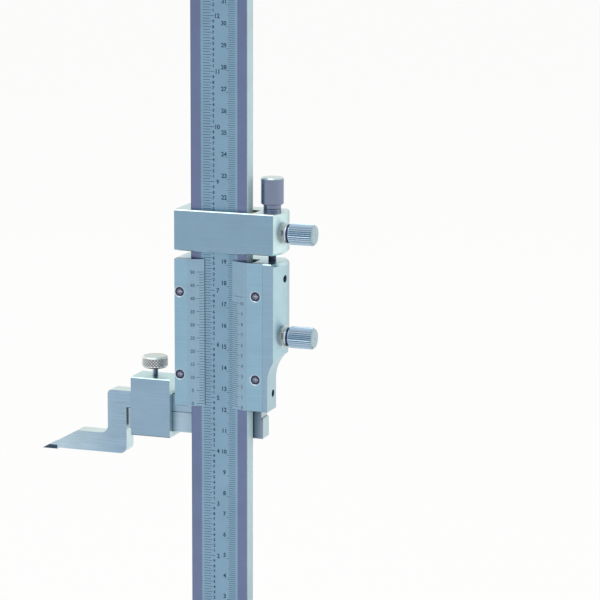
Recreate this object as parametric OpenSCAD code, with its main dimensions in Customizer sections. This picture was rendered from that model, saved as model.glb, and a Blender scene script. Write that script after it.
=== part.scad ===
// Vernier height gauge with a 300 mm beam, drawn at the reading that is set below.
// Origin: on the base's ground sole, under the middle of the beam's front face.
// +X to the right as the scale is read, +Y behind the beam, +Z up. Sizes are in mm.

/* [Reading] */
// Height of the scriber's edge above the surface plate
reading = 124; // [20:1:280]

/* [Base] */
// Width of the base
base_w = 118; // [100:1:140]
// Depth of the base, front to back
base_d = 78; // [70:1:95]
// Height of the base
base_h = 27; // [24:0.5:28]
// Distance of the base's left face from the beam's left edge
base_left = 10; // [8:0.5:11]
// Distance of the base's front face from the beam's front face
base_front = 36; // [30:1:42]
// Radius of the finger groove along the front and the back
grip_r = 9; // [6:0.5:10]
// Depth of the finger groove
grip_depth = 3.2; // [2:0.1:4]
// Height of the finger groove's middle
grip_z = 15; // [14:0.5:15.5]
// Radius of the base's upright corners
base_corner_r = 5; // [3:0.5:8]
// Chamfer along the top edges of the base
base_chamfer = 1.5; // [0.5:0.1:2.5]
// Width of the ground border of the sole
sole_border = 12; // [9:0.5:16]
// Depth of the relief in the sole
sole_relief = 1.2; // [0.6:0.1:2]
// Height of the floor of the relief that the jaw dips into
jaw_relief_floor = 11.5; // [10.5:0.5:12.5]
// Room around the jaw in that relief
jaw_relief_room = 2; // [1:0.1:2.5]

/* [Beam] */
// Width of the beam
beam_w = 28; // [26:0.5:32]
// Thickness of the beam
beam_t = 7.5; // [7:0.1:9]
// Height of the beam's top above the surface plate
beam_top = 430; // [426:1:450]
// Height of the beam's foot above the surface plate
foot_floor = 9; // [8:0.5:11]
// Width of each plain border beside the graduated band
band_border = 5; // [3:0.1:7]
// Depth of the graduated band
band_depth = 0.2; // [0.1:0.05:0.5]
// Chamfer across the beam's top
beam_chamfer = 0.8; // [0.3:0.1:1.5]
// Chamfer along the beam's long edges
beam_edge = 0.3; // [0.1:0.05:0.5]
// Radius of the screws that hold the beam
base_screw_r = 2; // [1.5:0.1:2.5]
// Spacing of the screws that hold the beam
base_screw_pitch = 16; // [12:0.5:18]
// Length of thread in the beam's foot
base_screw_bite = 10; // [6:0.5:14]
// Radius of the stop screw's head
stop_head_r = 2.6; // [2:0.1:3.5]
// Height of the stop screw's head in front of the beam
stop_head_h = 2; // [1:0.1:3]
// Distance of the stop screw from the beam's top
stop_drop = 5; // [4:0.1:7]

/* [Slider] */
// Height of the slider
slider_h = 69.5; // [66:0.5:76]
// Height of the slider's lower face above the scriber's edge
slider_rise = 29.2; // [28.6:0.1:31]
// Width of the rail left of the beam
rail_w = 6.8; // [6.2:0.1:9]
// Thickness in front of the beam, which is that of the vernier plates
front_t = 3.7; // [3:0.1:5]
// Thickness behind the beam
back_t = 9.3; // [9:0.1:12]
// Reach of the boss beyond the beam's right edge
boss_reach = 17; // [16:0.1:20]
// Radius of the boss's turned end
end_r = 18; // [15:0.1:20]
// Chamfer around the turned end
end_chamfer = 1.2; // [0.5:0.1:1.8]
// Small chamfer along the other edges
edge_chamfer = 0.4; // [0.2:0.05:0.8]
// Reach of the slider's lower part beyond the beam's right edge
lower_reach = 11; // [10.4:0.1:12]
// Height of the straight part below the sweep
sweep_start = 14.4; // [10:0.1:18]
// Radius of the sweep that runs up to the boss
sweep_r = 16; // [14:0.5:22]
// Height of the step that is cut behind the slider's lower part
step_h = 23.4; // [20:0.1:24]
// Reach of the slider's lower part behind the beam
lower_back = 0.9; // [0.6:0.1:1.4]
// Width of the slot right of the beam that holds the gib
gib_slot_w = 3.6; // [3:0.1:4.2]

/* [Vernier plates] */
// Distance of the inch plate's reading edge from the beam's left edge
inch_edge = 6.8; // [6:0.1:8]
// Distance of the millimetre plate's reading edge from the beam's right edge
metric_edge = 7.4; // [6.5:0.1:8.5]
// Width of the inch plate's bevel
inch_bevel = 7.3; // [6:0.1:8]
// Width of the millimetre plate's bevel
metric_bevel = 8.4; // [7:0.1:9]
// Distance of the millimetre plate's outer edge from the beam's right edge
metric_reach = 8.6; // [8:0.1:9.2]
// Thickness of the plates at their reading edge
plate_edge_t = 0.25; // [0.2:0.05:0.5]
// Radius of the plate screws' heads
plate_screw_head_r = 2.1; // [1.8:0.1:2.3]
// Radius of the plate screws' shanks
plate_screw_r = 1.2; // [1:0.1:1.4]
// Length of a plate screw below its plate
plate_screw_bite = 5; // [3:0.1:6]
// Distance of the lower screws from the plates' lower ends
plate_screw_low = 14.9; // [10:0.1:20]
// Distance of the upper screws from the plates' tops
plate_screw_top = 15.5; // [10:0.1:20]
// Distance of the inch plate's screws from its outer edge
inch_screw_edge = 2.45; // [2.4:0.05:3]
// Distance of the millimetre plate's screws from its outer edge
metric_screw_edge = 3.6; // [3:0.1:4]
// Width of the countersink's bright rim around each head
csk_rim = 0.25; // [0.15:0.05:0.3]

/* [Gib] */
// Thickness of the gib strip
gib_t = 3.3; // [2.7:0.1:3.4]
// Depth of the gib's ends below the slider's faces
gib_recess = 2; // [1:0.1:3]
// Radius of the gib's adjusting screws
gib_screw_r = 1.7; // [1.4:0.1:1.8]
// Depth of those screws below the surface
gib_screw_sink = 1.5; // [0.5:0.1:2.5]
// Distance of the lower gib screw from the slider's lower face
gib_screw_low = 7.6; // [6:0.1:9]
// Distance of the upper gib screw from the slider's top
gib_screw_top = 7.6; // [7:0.1:10]

/* [Clamp knobs] */
// Radius of the knobs over their flutes
knob_r = 5; // [4:0.1:6]
// Length of the fluted part
knob_flute_l = 10.6; // [8:0.1:13]
// Number of flutes
knob_flutes = 30; // [20:1:36]
// Depth of the flutes
knob_flute_depth = 0.5; // [0.2:0.05:0.6]
// Length of the plain collar at the knob's inner end
knob_collar_l = 2.2; // [1:0.1:3]
// Radius of the plain collar
knob_collar_r = 4.4; // [3.6:0.1:4.8]
// Length of the chamfered outer end
knob_end_l = 1.1; // [0.8:0.1:2]
// Radius of the outer face
knob_face_r = 4.2; // [3.4:0.1:4.3]
// Distance of the knobs from the boss
knob_gap = 0.5; // [0.4:0.1:1.2]
// Radius of the clamp studs
stud_r = 1.5; // [1.2:0.1:1.6]
// Distance of the clamp studs behind the beam's front face
clamp_y = 4.5; // [4.2:0.1:4.8]
// Radius of the dish around each stud
dish_r = 5.5; // [4.5:0.1:6]
// Depth of the dish
dish_depth = 1.7; // [1:0.1:2.5]
// Radius of the dish's floor
dish_floor_r = 2.4; // [2:0.1:3]
// Radius of the slider's brass brake shoe
shoe_r = 2.2; // [1.8:0.1:2.4]
// Travel of the brake shoes for one turn of a knob
clamp_pitch = 0.5; // [0.4:0.05:0.7]

/* [Fine adjustment] */
// Gap between the carrier and the slider
fine_gap = 3.9; // [3.5:0.1:6]
// Height of the carrier
carrier_h = 19.1; // [18:0.1:24]
// Radius of the fine-adjust screw
fine_screw_r = 1.88; // [1.6:0.02:1.9]
// Distance of the fine-adjust screw from the beam's right edge
fine_x = 9; // [8.6:0.1:9.4]
// Distance of the fine-adjust screw behind the beam's front face
fine_y = 8.4; // [8.3:0.1:9]
// Length of the fine-adjust screw in the slider
fine_bite = 16; // [12:0.5:18]
// Depth of its hole in the slider
fine_hole = 21; // [20:0.5:22]
// Radius of the knob's neck
neck_r = 4.1; // [3.6:0.1:4.6]
// Height of the knob's neck
neck_h = 3.3; // [2.5:0.1:5]
// Radius of the knob's head
fine_head_r = 5.3; // [4.8:0.1:6.2]
// Height of the knob's head
fine_head_h = 12.3; // [9:0.1:15]
// Radius of the collar that keeps the screw in the carrier
collar_r = 3.4; // [3:0.1:3.6]
// Thickness of that collar
collar_t = 2.6; // [2:0.1:3]

/* [Jaw] */
// Height of the jaw
jaw_h = 9.9; // [8:0.1:12]
// Height of the jaw's lower face above the scriber's edge
jaw_rise = 13.4; // [13:0.1:14]
// Reach of the jaw left of the beam's left edge
jaw_left = 35.1; // [34:0.1:35.6]
// Reach of the jaw beyond the beam's right edge
jaw_right = 4.7; // [4:0.1:5.5]
// Distance of the jaw's front face behind the beam
jaw_clear = 0.5; // [0.3:0.05:0.8]
// Distance of the jaw's back from the slider's back
jaw_inset = 0.8; // [0.4:0.1:1.2]
// Width of the jaw's upright
upright_w = 24; // [22:0.5:25]
// Distance of the upright's right side from the jaw's right end
upright_inset = 0.8; // [0.4:0.1:1.4]
// Thickness of the upright's tongue in the slider's back
tongue_t = 5; // [4:0.1:5.2]
// Height of the tongue
tongue_h = 19; // [16:0.5:24]
// Radius of the jaw screws' heads
jaw_screw_head_r = 3; // [2.4:0.1:3.4]
// Radius of the jaw screws' shanks
jaw_screw_r = 1.6; // [1.4:0.1:1.9]
// Radius of the dowel pins
dowel_r = 1.25; // [1:0.05:1.5]

/* [Scriber clamp] */
// Distance of the clamp's right side from the slider's left side
clamp_gap = 6; // [5.5:0.1:6.4]
// Width of the clamp
clamp_w = 19.7; // [18:0.1:20]
// Thickness of the clamp's front wall
clamp_front_wall = 3.4; // [2.6:0.1:4]
// Thickness of the clamp's back wall
clamp_back_wall = 2.9; // [2.4:0.1:4]
// Thickness of the clamp's lower wall
clamp_floor = 2.5; // [2.2:0.1:2.6]
// Height of the clamp
clamp_h = 28.1; // [27:0.1:32]
// Distance of the thumbscrew left of the clamp's middle
thumb_offset = 0.45; // [0:0.05:0.6]
// Radius of the thumbscrew's head
thumb_r = 6.2; // [5:0.05:7.5]
// Height of the thumbscrew's head
thumb_h = 5.4; // [4:0.1:7]
// Height of the head above the clamp
thumb_lift = 4.2; // [3.5:0.1:6]
// Radius of the thumbscrew's stem
thumb_stem_r = 1.45; // [1.2:0.05:1.7]
// Radius of the pressure pad
pad_r = 2.3; // [2:0.1:2.8]
// Thickness of the pressure pad
pad_t = 1.8; // [1.2:0.1:2.2]
// Lift of the pad when the thumbscrew is slack
pad_lift = 1.5; // [1:0.1:1.8]

/* [Scriber] */
// Depth of the scriber, front to back
scriber_t = 8.5; // [7:0.1:9]
// Height of the shank in the clamp
shank_h = 7.9; // [6.5:0.1:8.5]
// Length of the shank right of the leg
shank_l = 40; // [36:0.5:40.5]
// Width of the leg
leg_w = 9.6; // [8:0.1:12]
// Gap between the leg and the jaw's end
leg_gap = 1.2; // [1:0.1:1.6]
// Height of the foot
foot_h = 9.3; // [7:0.1:11]
// Length of the foot's level top
foot_top_l = 15.9; // [11:0.1:17]
// Length of the foot's slope
slope_l = 14.3; // [12:0.1:17]
// Radius between the leg and the foot
foot_fillet = 3.7; // [2:0.1:4.5]
// Radius of the leg's top corner
leg_corner = 2; // [1:0.1:3]
// Radius of the leg's lower corner
heel_r = 3.4; // [2:0.1:4.5]
// Height of the scriber's underside above its edge
belly_rise = 0.6; // [0.3:0.1:1]
// Length of the carbide tip
tip_l = 7.6; // [7:0.1:10]
// Thickness of the carbide tip
tip_t = 1.95; // [1.5:0.05:2.4]
// Length of the carbide's bevel
tip_bevel_l = 3.4; // [2.5:0.1:4.5]

/* [Fits] */
// Clearance of a sliding face
slide_fit = 0.05; // [0.03:0.01:0.1]
// Radial clearance of a pin or a screw in its hole
pin_fit = 0.05; // [0.03:0.01:0.08]
// Clearance of parts that only pass each other
loose_fit = 0.15; // [0.1:0.01:0.3]

/* [Hidden] */
$fn = 64;
over = 1;
satin = [0.66, 0.74, 0.79];
bright = [0.78, 0.86, 0.88];
dark_steel = [0.42, 0.45, 0.52];

// Faces of the beam
beam_x = beam_w / 2;
beam_z0 = foot_floor;
// Heights, all from the scriber's edge
slider_z0 = reading + slider_rise;
slider_z1 = slider_z0 + slider_h;
carrier_z0 = slider_z1 + fine_gap;
carrier_z1 = carrier_z0 + carrier_h;
jaw_z0 = reading + jaw_rise;
jaw_z1 = jaw_z0 + jaw_h;
// Sides of the slider and of the carrier
body_left = -beam_x - rail_w;
body_right = beam_x + boss_reach;
body_back = beam_t + back_t;
body_t = front_t + body_back;
body_mid_y = body_back - body_t / 2;
end_x = body_right - end_r;
lower_x = beam_x + lower_reach;
gib_wall_x = beam_x + gib_slot_w;
plate_back = -slide_fit * 2;
channel_back = beam_t + slide_fit;
sweep_z0 = slider_z0 + sweep_start;
step_z1 = slider_z0 + step_h;
// Slope of the step's ceiling under the boss
step_rise = body_right - lower_x;
// Clamp studs
slider_clamp_z = slider_z0 + slider_h / 2;
carrier_clamp_z = carrier_z0 + carrier_h / 2;
knob_x0 = body_right + knob_gap;
knob_l = knob_collar_l + knob_flute_l + knob_end_l;
stud_x1 = knob_x0 + knob_l * 3 / 4;
shoe_back = gib_wall_x - loose_fit * 2;
shoe_travel = clamp_pitch;
// Plates
inch_inner = -beam_x + inch_edge;
metric_inner = beam_x - metric_edge;
metric_outer = beam_x + metric_reach;
screw_xs = [body_left + inch_screw_edge, metric_outer - metric_screw_edge];
screw_zs = [slider_z0 + plate_screw_low, slider_z1 - plate_screw_top];
csk_r = plate_screw_head_r + csk_rim;
// Gib screws
gib_screw_zs = [slider_z0 + gib_screw_low, slider_z1 - gib_screw_top];
gib_screw_ends = [lower_x - gib_screw_sink, body_right - gib_screw_sink];
gib_screw_y = beam_t * 0.56;
// Fine adjustment
fine_x_pos = beam_x + fine_x;
fine_bore_r = fine_screw_r + pin_fit;
// Jaw and clamp
jaw_x0 = -beam_x - jaw_left;
jaw_x1 = beam_x + jaw_right;
jaw_front = beam_t + jaw_clear;
jaw_back = body_back - jaw_inset;
upright_x1 = jaw_x1 - upright_inset;
upright_x0 = upright_x1 - upright_w;
tongue_z1 = step_z1 + tongue_h;
jaw_screw_xs = [upright_x0 + upright_w / 4, upright_x1 - upright_w / 4];
jaw_screw_zs = [step_z1 + tongue_h / 4, tongue_z1 - tongue_h / 4];
clamp_x1 = body_left - clamp_gap;
clamp_x0 = clamp_x1 - clamp_w;
scriber_y0 = jaw_front;
scriber_y1 = scriber_y0 + scriber_t;
window_y0 = jaw_front - loose_fit;
window_y1 = scriber_y1 + loose_fit;
clamp_y0 = window_y0 - clamp_front_wall;
clamp_y1 = window_y1 + clamp_back_wall;
clamp_z0 = jaw_z0 - clamp_floor;
clamp_z1 = clamp_z0 + clamp_h;
shank_z1 = jaw_z1 + shank_h;
window_z1 = shank_z1 + loose_fit * 2;
thumb_x = (clamp_x0 + clamp_x1) / 2 - thumb_offset;
thumb_y = (clamp_y0 + clamp_y1) / 2;
// Scriber
leg_x1 = jaw_x0 - leg_gap;
leg_x0 = leg_x1 - leg_w;
belly_z = reading + belly_rise;
foot_z1 = belly_z + foot_h;
slope_x0 = leg_x0 - foot_top_l;
slope_x1 = slope_x0 - slope_l;
tip_z1 = reading + tip_t;
tip_x1 = slope_x1 - tip_bevel_l - edge_chamfer + tip_l;
tip_x0 = tip_x1 - tip_l;

// A shape drawn in the XZ plane, carried along Y from y0 to y1
module along_y(y0, y1) {
    translate([0, y1, 0]) rotate([90, 0, 0]) linear_extrude(y1 - y0) children();
}

// A shape drawn in the YZ plane, carried along X from x0 to x1
module along_x(x0, x1) {
    translate([x0, 0, 0]) rotate([90, 0, 90]) linear_extrude(x1 - x0) children();
}

// A round bar along +X, from x0 to x1
module bar_x(x0, x1, y, z, r) {
    translate([x0, y, z]) rotate([0, 90, 0]) cylinder(h = x1 - x0, r = r);
}

// A round bar along +Y, from y0 to y1
module bar_y(x, y0, y1, z, r) {
    translate([x, y1, z]) rotate([90, 0, 0]) cylinder(h = y1 - y0, r = r);
}

// A box between two corners
module box(a, b) {
    translate(a) cube(b - a);
}

// A rectangle with chamfered corners
module chamfered(a, b, c) {
    polygon([
        [a[0] + c, a[1]], [b[0] - c, a[1]], [b[0], a[1] + c], [b[0], b[1] - c],
        [b[0] - c, b[1]], [a[0] + c, b[1]], [a[0], b[1] - c], [a[0], a[1] + c]
    ]);
}

// The block that the slider and the carrier are cut from, with its turned right end
module body_block(z0, z1, top_chamfer) {
    h = z1 - z0;
    intersection() {
        along_x(body_left, body_right + over)
            chamfered([-front_t, z0], [body_back, z1], edge_chamfer);
        union() {
            box([body_left, -front_t - over, z0], [end_x, body_back + over, z1]);
            translate([end_x, body_mid_y, z0]) rotate_extrude($fn = 128) polygon([
                [0, 0], [end_r - end_chamfer, 0], [end_r, end_chamfer],
                [end_r, h - top_chamfer], [end_r - top_chamfer, h], [0, h]
            ]);
        }
    }
}

// The channel that the beam and the gib run in
module beam_channel(z0, z1) {
    box([-beam_x - slide_fit, plate_back, z0 - over], [gib_wall_x, channel_back, z1 + over]);
}

// The hole for a clamp stud, the shoe's pocket and the dish around the stud
module clamp_bore(z, pocket_r) {
    bar_x(beam_x, body_right + over, clamp_y, z, stud_r + pin_fit);
    bar_x(beam_x, gib_wall_x + shoe_travel + loose_fit * 2, clamp_y, z, pocket_r);
    translate([body_right - dish_depth, clamp_y, z]) rotate([0, 90, 0])
        cylinder(h = dish_depth + over,
                 r1 = dish_floor_r,
                 r2 = dish_r + over * (dish_r - dish_floor_r) / dish_depth);
}

// A bar along X with V flutes around it
module fluted_bar(x0, x1, y, z, r, n, depth) {
    translate([x0, y, z]) rotate([0, 90, 0]) linear_extrude(x1 - x0) polygon([
        for (i = [0 : 2 * n - 1])
            let (a = 180 * i / n, q = i % 2 == 0 ? r : r - depth) [q * cos(a), q * sin(a)]
    ]);
}

// A clamp knob: plain collar, flutes, turned end with a small centre mark
module clamp_knob(z) {
    bore_end = stud_x1 - knob_x0;
    // the turned end's cone, carried on past the tips of the flutes
    rim_r = knob_r + knob_flute_depth;
    rim_x = knob_collar_l + knob_flute_l - knob_flute_depth * knob_end_l / (knob_r - knob_face_r);
    difference() {
        intersection() {
            fluted_bar(knob_x0, knob_x0 + knob_l, clamp_y, z, knob_r, knob_flutes, knob_flute_depth);
            translate([knob_x0, clamp_y, z]) rotate([0, 90, 0]) rotate_extrude() polygon([
                [0, 0], [knob_collar_r, 0], [knob_collar_r, knob_collar_l],
                [rim_r, knob_collar_l], [rim_r, rim_x], [knob_face_r, knob_l], [0, knob_l]
            ]);
        }
        bar_x(knob_x0 - over, knob_x0 + bore_end, clamp_y, z, stud_r);
        translate([knob_x0 + knob_l, clamp_y, z]) rotate([0, 90, 0]) translate([0, 0, -edge_chamfer])
            cylinder(h = edge_chamfer + over, r1 = edge_chamfer / 2, r2 = edge_chamfer / 2 + over);
    }
}

// A cross recess, cut along -Y into a head whose top is at y
module cross_recess(x, y, z, r) {
    arm = r * 0.72;
    half = r * 0.16;
    deep = r * 0.42;
    box([x - arm, y - over, z - half], [x + arm, y + deep, z + half]);
    box([x - half, y - over, z - arm], [x + half, y + deep, z + arm]);
}

// A rectangle with round corners
module rounded(a, b, r) {
    for (x = [a[0] + r, b[0] - r])
        for (y = [a[1] + r, b[1] - r])
            translate([x, y]) circle(r);
    translate([a[0] + r, a[1]]) square([b[0] - a[0] - 2 * r, b[1] - a[1]]);
    translate([a[0], a[1] + r]) square([b[0] - a[0], b[1] - a[1] - 2 * r]);
}

module base() {
    x0 = -beam_x - base_left;
    x1 = x0 + base_w;
    y0 = -base_front;
    y1 = y0 + base_d;
    land = base_screw_pitch / 2 + base_screw_r * 4;
    groove_y = grip_r - grip_depth;
    color(dark_steel) difference() {
        intersection() {
            translate([0, 0, -over]) linear_extrude(base_h + 2 * over)
                rounded([x0, y0], [x1, y1], base_corner_r);
            along_x(x0 - over, x1 + over) polygon([
                [y0, 0], [y1, 0], [y1, base_h - base_chamfer], [y1 - base_chamfer, base_h],
                [y0 + base_chamfer, base_h], [y0, base_h - base_chamfer]
            ]);
        }
        // finger grooves along the front and the back
        bar_x(x0 - over, x1 + over, y0 - groove_y, grip_z, grip_r);
        bar_x(x0 - over, x1 + over, y1 + groove_y, grip_z, grip_r);
        // socket for the beam's foot
        box([-beam_x, 0, beam_z0], [beam_x, beam_t, base_h + over]);
        // relief that the jaw and the scriber's shank dip into
        box([x0 - over, beam_t, jaw_relief_floor],
            [jaw_x1 + jaw_relief_room, scriber_y1 + jaw_relief_room, base_h + over]);
        // relief of the sole on both sides of the land under the beam
        box([land, y0 + sole_border, -over], [x1 - sole_border, y1 - sole_border, sole_relief]);
        // holes and counterbores of the screws that hold the beam
        for (x = [-base_screw_pitch / 2, base_screw_pitch / 2]) translate([x, beam_t / 2, 0]) {
            translate([0, 0, -over]) cylinder(h = beam_z0 + 2 * over, r = base_screw_r + pin_fit);
            translate([0, 0, -over]) cylinder(h = base_screw_r * 2 + over, r = base_screw_r * 1.9);
        }
    }
}

module beam() {
    difference() {
        color(dark_steel) intersection() {
            along_y(-over, beam_t + over) polygon([
                [-beam_x, beam_z0], [beam_x, beam_z0], [beam_x, beam_top - beam_chamfer],
                [beam_x - beam_chamfer, beam_top], [beam_chamfer - beam_x, beam_top],
                [-beam_x, beam_top - beam_chamfer]
            ]);
            translate([0, 0, beam_z0 - over]) linear_extrude(beam_top - beam_z0 + 2 * over)
                chamfered([-beam_x, 0], [beam_x, beam_t], beam_edge);
        }
        // graduated band
        color(satin) box([band_border - beam_x, -over, base_h],
                         [beam_x - band_border, band_depth, beam_top + over]);
        // threads for the base screws and for the stop screw
        for (x = [-base_screw_pitch / 2, base_screw_pitch / 2])
            translate([x, beam_t / 2, beam_z0 - over])
                cylinder(h = base_screw_bite + 2 * over, r = base_screw_r);
        bar_y(0, -over, beam_t + over, beam_top - stop_drop, stop_head_r / 2);
    }
}

module base_screws() {
    color(dark_steel) for (x = [-base_screw_pitch / 2, base_screw_pitch / 2])
        translate([x, beam_t / 2, 0]) difference() {
            union() {
                translate([0, 0, base_screw_r * 0.25])
                    cylinder(h = base_screw_r * 1.75, r = base_screw_r * 1.75);
                translate([0, 0, base_screw_r])
                    cylinder(h = beam_z0 + base_screw_bite - base_screw_r, r = base_screw_r);
            }
            cylinder(h = base_screw_r * 1.3, r = base_screw_r * 0.85, $fn = 6);
        }
}

module beam_stop_screw() {
    z = beam_top - stop_drop;
    color(bright) difference() {
        union() {
            bar_y(0, band_depth - stop_head_h, band_depth, z, stop_head_r);
            bar_y(0, band_depth - stop_head_h / 2, beam_t, z, stop_head_r / 2);
        }
        // driver slot
        box([-stop_head_r - over, band_depth - stop_head_h - over, z - stop_head_r / 8],
            [stop_head_r + over, band_depth - stop_head_h * 0.6, z + stop_head_r / 8]);
    }
}

module slider_frame() {
    color(satin) difference() {
        body_block(slider_z0, slider_z1, end_chamfer);
        // room for the vernier plates and for the beam
        box([body_left - over, -front_t - over, slider_z0 - over],
            [metric_outer + pin_fit, plate_back, slider_z1 + over]);
        beam_channel(slider_z0, slider_z1);
        // sweep from the boss down to the lower part
        along_y(-front_t - over, body_back + over) {
            translate([lower_x, slider_z0 - over]) square([body_right - lower_x + over, sweep_start + over]);
            intersection() {
                translate([lower_x + sweep_r, sweep_z0]) circle(sweep_r, $fn = 128);
                translate([lower_x, sweep_z0]) square([body_right - lower_x + over, sweep_r]);
            }
        }
        // step behind the lower part, which the scriber's shank and the jaw's upright use
        box([body_left - over, channel_back, slider_z0 - over],
            [upright_x1 + slide_fit, body_back + over, step_z1]);
        along_y(beam_t + lower_back, body_back + over) polygon([
            [body_left - over, slider_z0 - over], [body_right + over, slider_z0 - over],
            [body_right + over, step_z1 + step_rise + over], [lower_x, step_z1],
            [body_left - over, step_z1]
        ]);
        // slot for the jaw's tongue
        box([upright_x0 - slide_fit, jaw_back - tongue_t - slide_fit, step_z1 - over],
            [upright_x1 + slide_fit, body_back + over, tongue_z1 + slide_fit]);
        for (x = jaw_screw_xs)
            for (z = jaw_screw_zs)
                bar_y(x, beam_t, body_back, z, jaw_screw_r);
        for (z = jaw_screw_zs)
            bar_y((upright_x0 + upright_x1) / 2, beam_t, body_back, z, dowel_r);
        // clamp stud, gib screws, plate screws, fine-adjust screw
        clamp_bore(slider_clamp_z, shoe_r + loose_fit);
        for (i = [0, 1])
            bar_x(beam_x, body_right + over, gib_screw_y, gib_screw_zs[i], gib_screw_r + pin_fit);
        for (x = screw_xs)
            for (z = screw_zs)
                bar_y(x, -front_t, plate_back + plate_screw_bite + loose_fit, z, plate_screw_r);
        translate([fine_x_pos, fine_y, slider_z1 - fine_hole])
            cylinder(h = fine_hole + over, r = fine_bore_r);
    }
}

// The holes and countersinks of one plate's two screws
module plate_holes(x) {
    for (z = screw_zs) {
        bar_y(x, -front_t - over, over, z, plate_screw_r + pin_fit);
        translate([x, -front_t + csk_r - plate_screw_r, z]) rotate([90, 0, 0])
            cylinder(h = csk_r - plate_screw_r + over, r1 = plate_screw_r, r2 = csk_r + over);
    }
}

module inch_vernier_plate() {
    color(satin) difference() {
        intersection() {
            translate([0, 0, slider_z0]) linear_extrude(slider_h) polygon([
                [body_left, plate_back], [body_left, -front_t], [inch_inner - inch_bevel, -front_t],
                [inch_inner, plate_back - plate_edge_t], [inch_inner, plate_back]
            ]);
            along_x(body_left - over, inch_inner + over)
                chamfered([-front_t, slider_z0], [front_t, slider_z1], edge_chamfer / 2);
        }
        plate_holes(screw_xs[0]);
    }
}

module metric_vernier_plate() {
    color(satin) difference() {
        intersection() {
            translate([0, 0, slider_z0]) linear_extrude(slider_h) polygon([
                [metric_inner, plate_back], [metric_inner, plate_back - plate_edge_t],
                [metric_inner + metric_bevel, -front_t], [metric_outer, -front_t],
                [metric_outer, plate_back]
            ]);
            along_x(metric_inner - over, metric_outer + over)
                chamfered([-front_t, slider_z0], [front_t, slider_z1], edge_chamfer / 2);
        }
        plate_holes(screw_xs[1]);
    }
}

module vernier_screws() {
    head_y = -front_t + csk_rim - pin_fit;
    cone_h = plate_screw_head_r - plate_screw_r;
    color(dark_steel) for (x = screw_xs) for (z = screw_zs) difference() {
        union() {
            translate([x, head_y + cone_h, z]) rotate([90, 0, 0])
                cylinder(h = cone_h, r1 = plate_screw_r, r2 = plate_screw_head_r);
            bar_y(x, head_y + cone_h, plate_back + plate_screw_bite, z, plate_screw_r);
        }
        cross_recess(x, head_y, z, plate_screw_head_r);
    }
}

module slider_gib() {
    color("darkgoldenrod") difference() {
        box([beam_x + slide_fit, loose_fit, slider_z0 + gib_recess],
            [beam_x + slide_fit + gib_t, beam_t - loose_fit, slider_z1 - gib_recess]);
        bar_x(beam_x - over, gib_wall_x + over, clamp_y, slider_clamp_z, shoe_r + pin_fit);
    }
}

module gib_screws() {
    slot_half = gib_screw_r / 6;
    color(dark_steel) for (i = [0, 1]) translate([0, gib_screw_y, gib_screw_zs[i]]) difference() {
        bar_x(beam_x + slide_fit + gib_t, gib_screw_ends[i], 0, 0, gib_screw_r);
        // driver slot
        box([gib_screw_ends[i] - gib_screw_r / 2, -slot_half, -gib_screw_r - over],
            [gib_screw_ends[i] + over, slot_half, gib_screw_r + over]);
    }
}

module slider_brake_shoe() {
    color("goldenrod") bar_x(beam_x, shoe_back, clamp_y, slider_clamp_z, shoe_r);
}

module slider_clamp_stud() {
    color(bright) bar_x(shoe_back, stud_x1, clamp_y, slider_clamp_z, stud_r);
}

module slider_clamp_knob() {
    color(satin) clamp_knob(slider_clamp_z);
}

module fine_adjust_carrier() {
    color(satin) difference() {
        body_block(carrier_z0, carrier_z1, edge_chamfer);
        beam_channel(carrier_z0, carrier_z1);
        clamp_bore(carrier_clamp_z, stud_r + pin_fit);
        // bore of the fine-adjust screw and the seat of its collar
        translate([fine_x_pos, fine_y, carrier_z0 - over]) {
            cylinder(h = carrier_h + 2 * over, r = fine_bore_r);
            cylinder(h = collar_t + loose_fit + slide_fit + over, r = collar_r + loose_fit);
        }
    }
}

module carrier_brake_shoe() {
    color("goldenrod") difference() {
        box([beam_x, loose_fit, carrier_z0 + edge_chamfer * 2],
            [shoe_back - shoe_travel, beam_t - loose_fit, carrier_z1 - edge_chamfer * 2]);
        bar_x(beam_x + slide_fit * 10, gib_wall_x, clamp_y, carrier_clamp_z, stud_r * 0.7);
    }
}

module carrier_clamp_stud() {
    color(bright) {
        bar_x(shoe_back - shoe_travel, stud_x1, clamp_y, carrier_clamp_z, stud_r);
        bar_x(beam_x + slide_fit * 12, gib_wall_x, clamp_y, carrier_clamp_z, stud_r * 0.7 - pin_fit);
    }
}

module carrier_clamp_knob() {
    color(satin) clamp_knob(carrier_clamp_z);
}

module fine_adjust_screw() {
    color(dark_steel) translate([fine_x_pos, fine_y, 0]) {
        translate([0, 0, slider_z1 - fine_bite])
            cylinder(h = carrier_z1 + neck_h + fine_head_h * 0.6 - slider_z1 + fine_bite, r = fine_screw_r);
    }
}

module fine_adjust_knob() {
    ring_h = neck_h / 3;
    groove = neck_h / 12;
    top = neck_h + fine_head_h;
    color(dark_steel) translate([fine_x_pos, fine_y, carrier_z1]) difference() {
        rotate_extrude() polygon([
            [0, 0], [neck_r, 0], [neck_r, ring_h], [neck_r - groove, ring_h + groove / 2],
            [neck_r, ring_h + groove], [neck_r, neck_h], [fine_head_r - groove, neck_h],
            [fine_head_r, neck_h + groove], [fine_head_r, top - groove * 2],
            [fine_head_r - groove * 2, top], [0, top]
        ]);
        translate([0, 0, -over]) cylinder(h = neck_h + fine_head_h * 0.6 + over, r = fine_screw_r);
    }
}

module fine_adjust_collar() {
    color(bright) translate([fine_x_pos, fine_y, carrier_z0 + loose_fit]) difference() {
        cylinder(h = collar_t, r = collar_r);
        translate([0, 0, -over]) cylinder(h = collar_t + 2 * over, r = fine_screw_r);
    }
}

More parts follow.
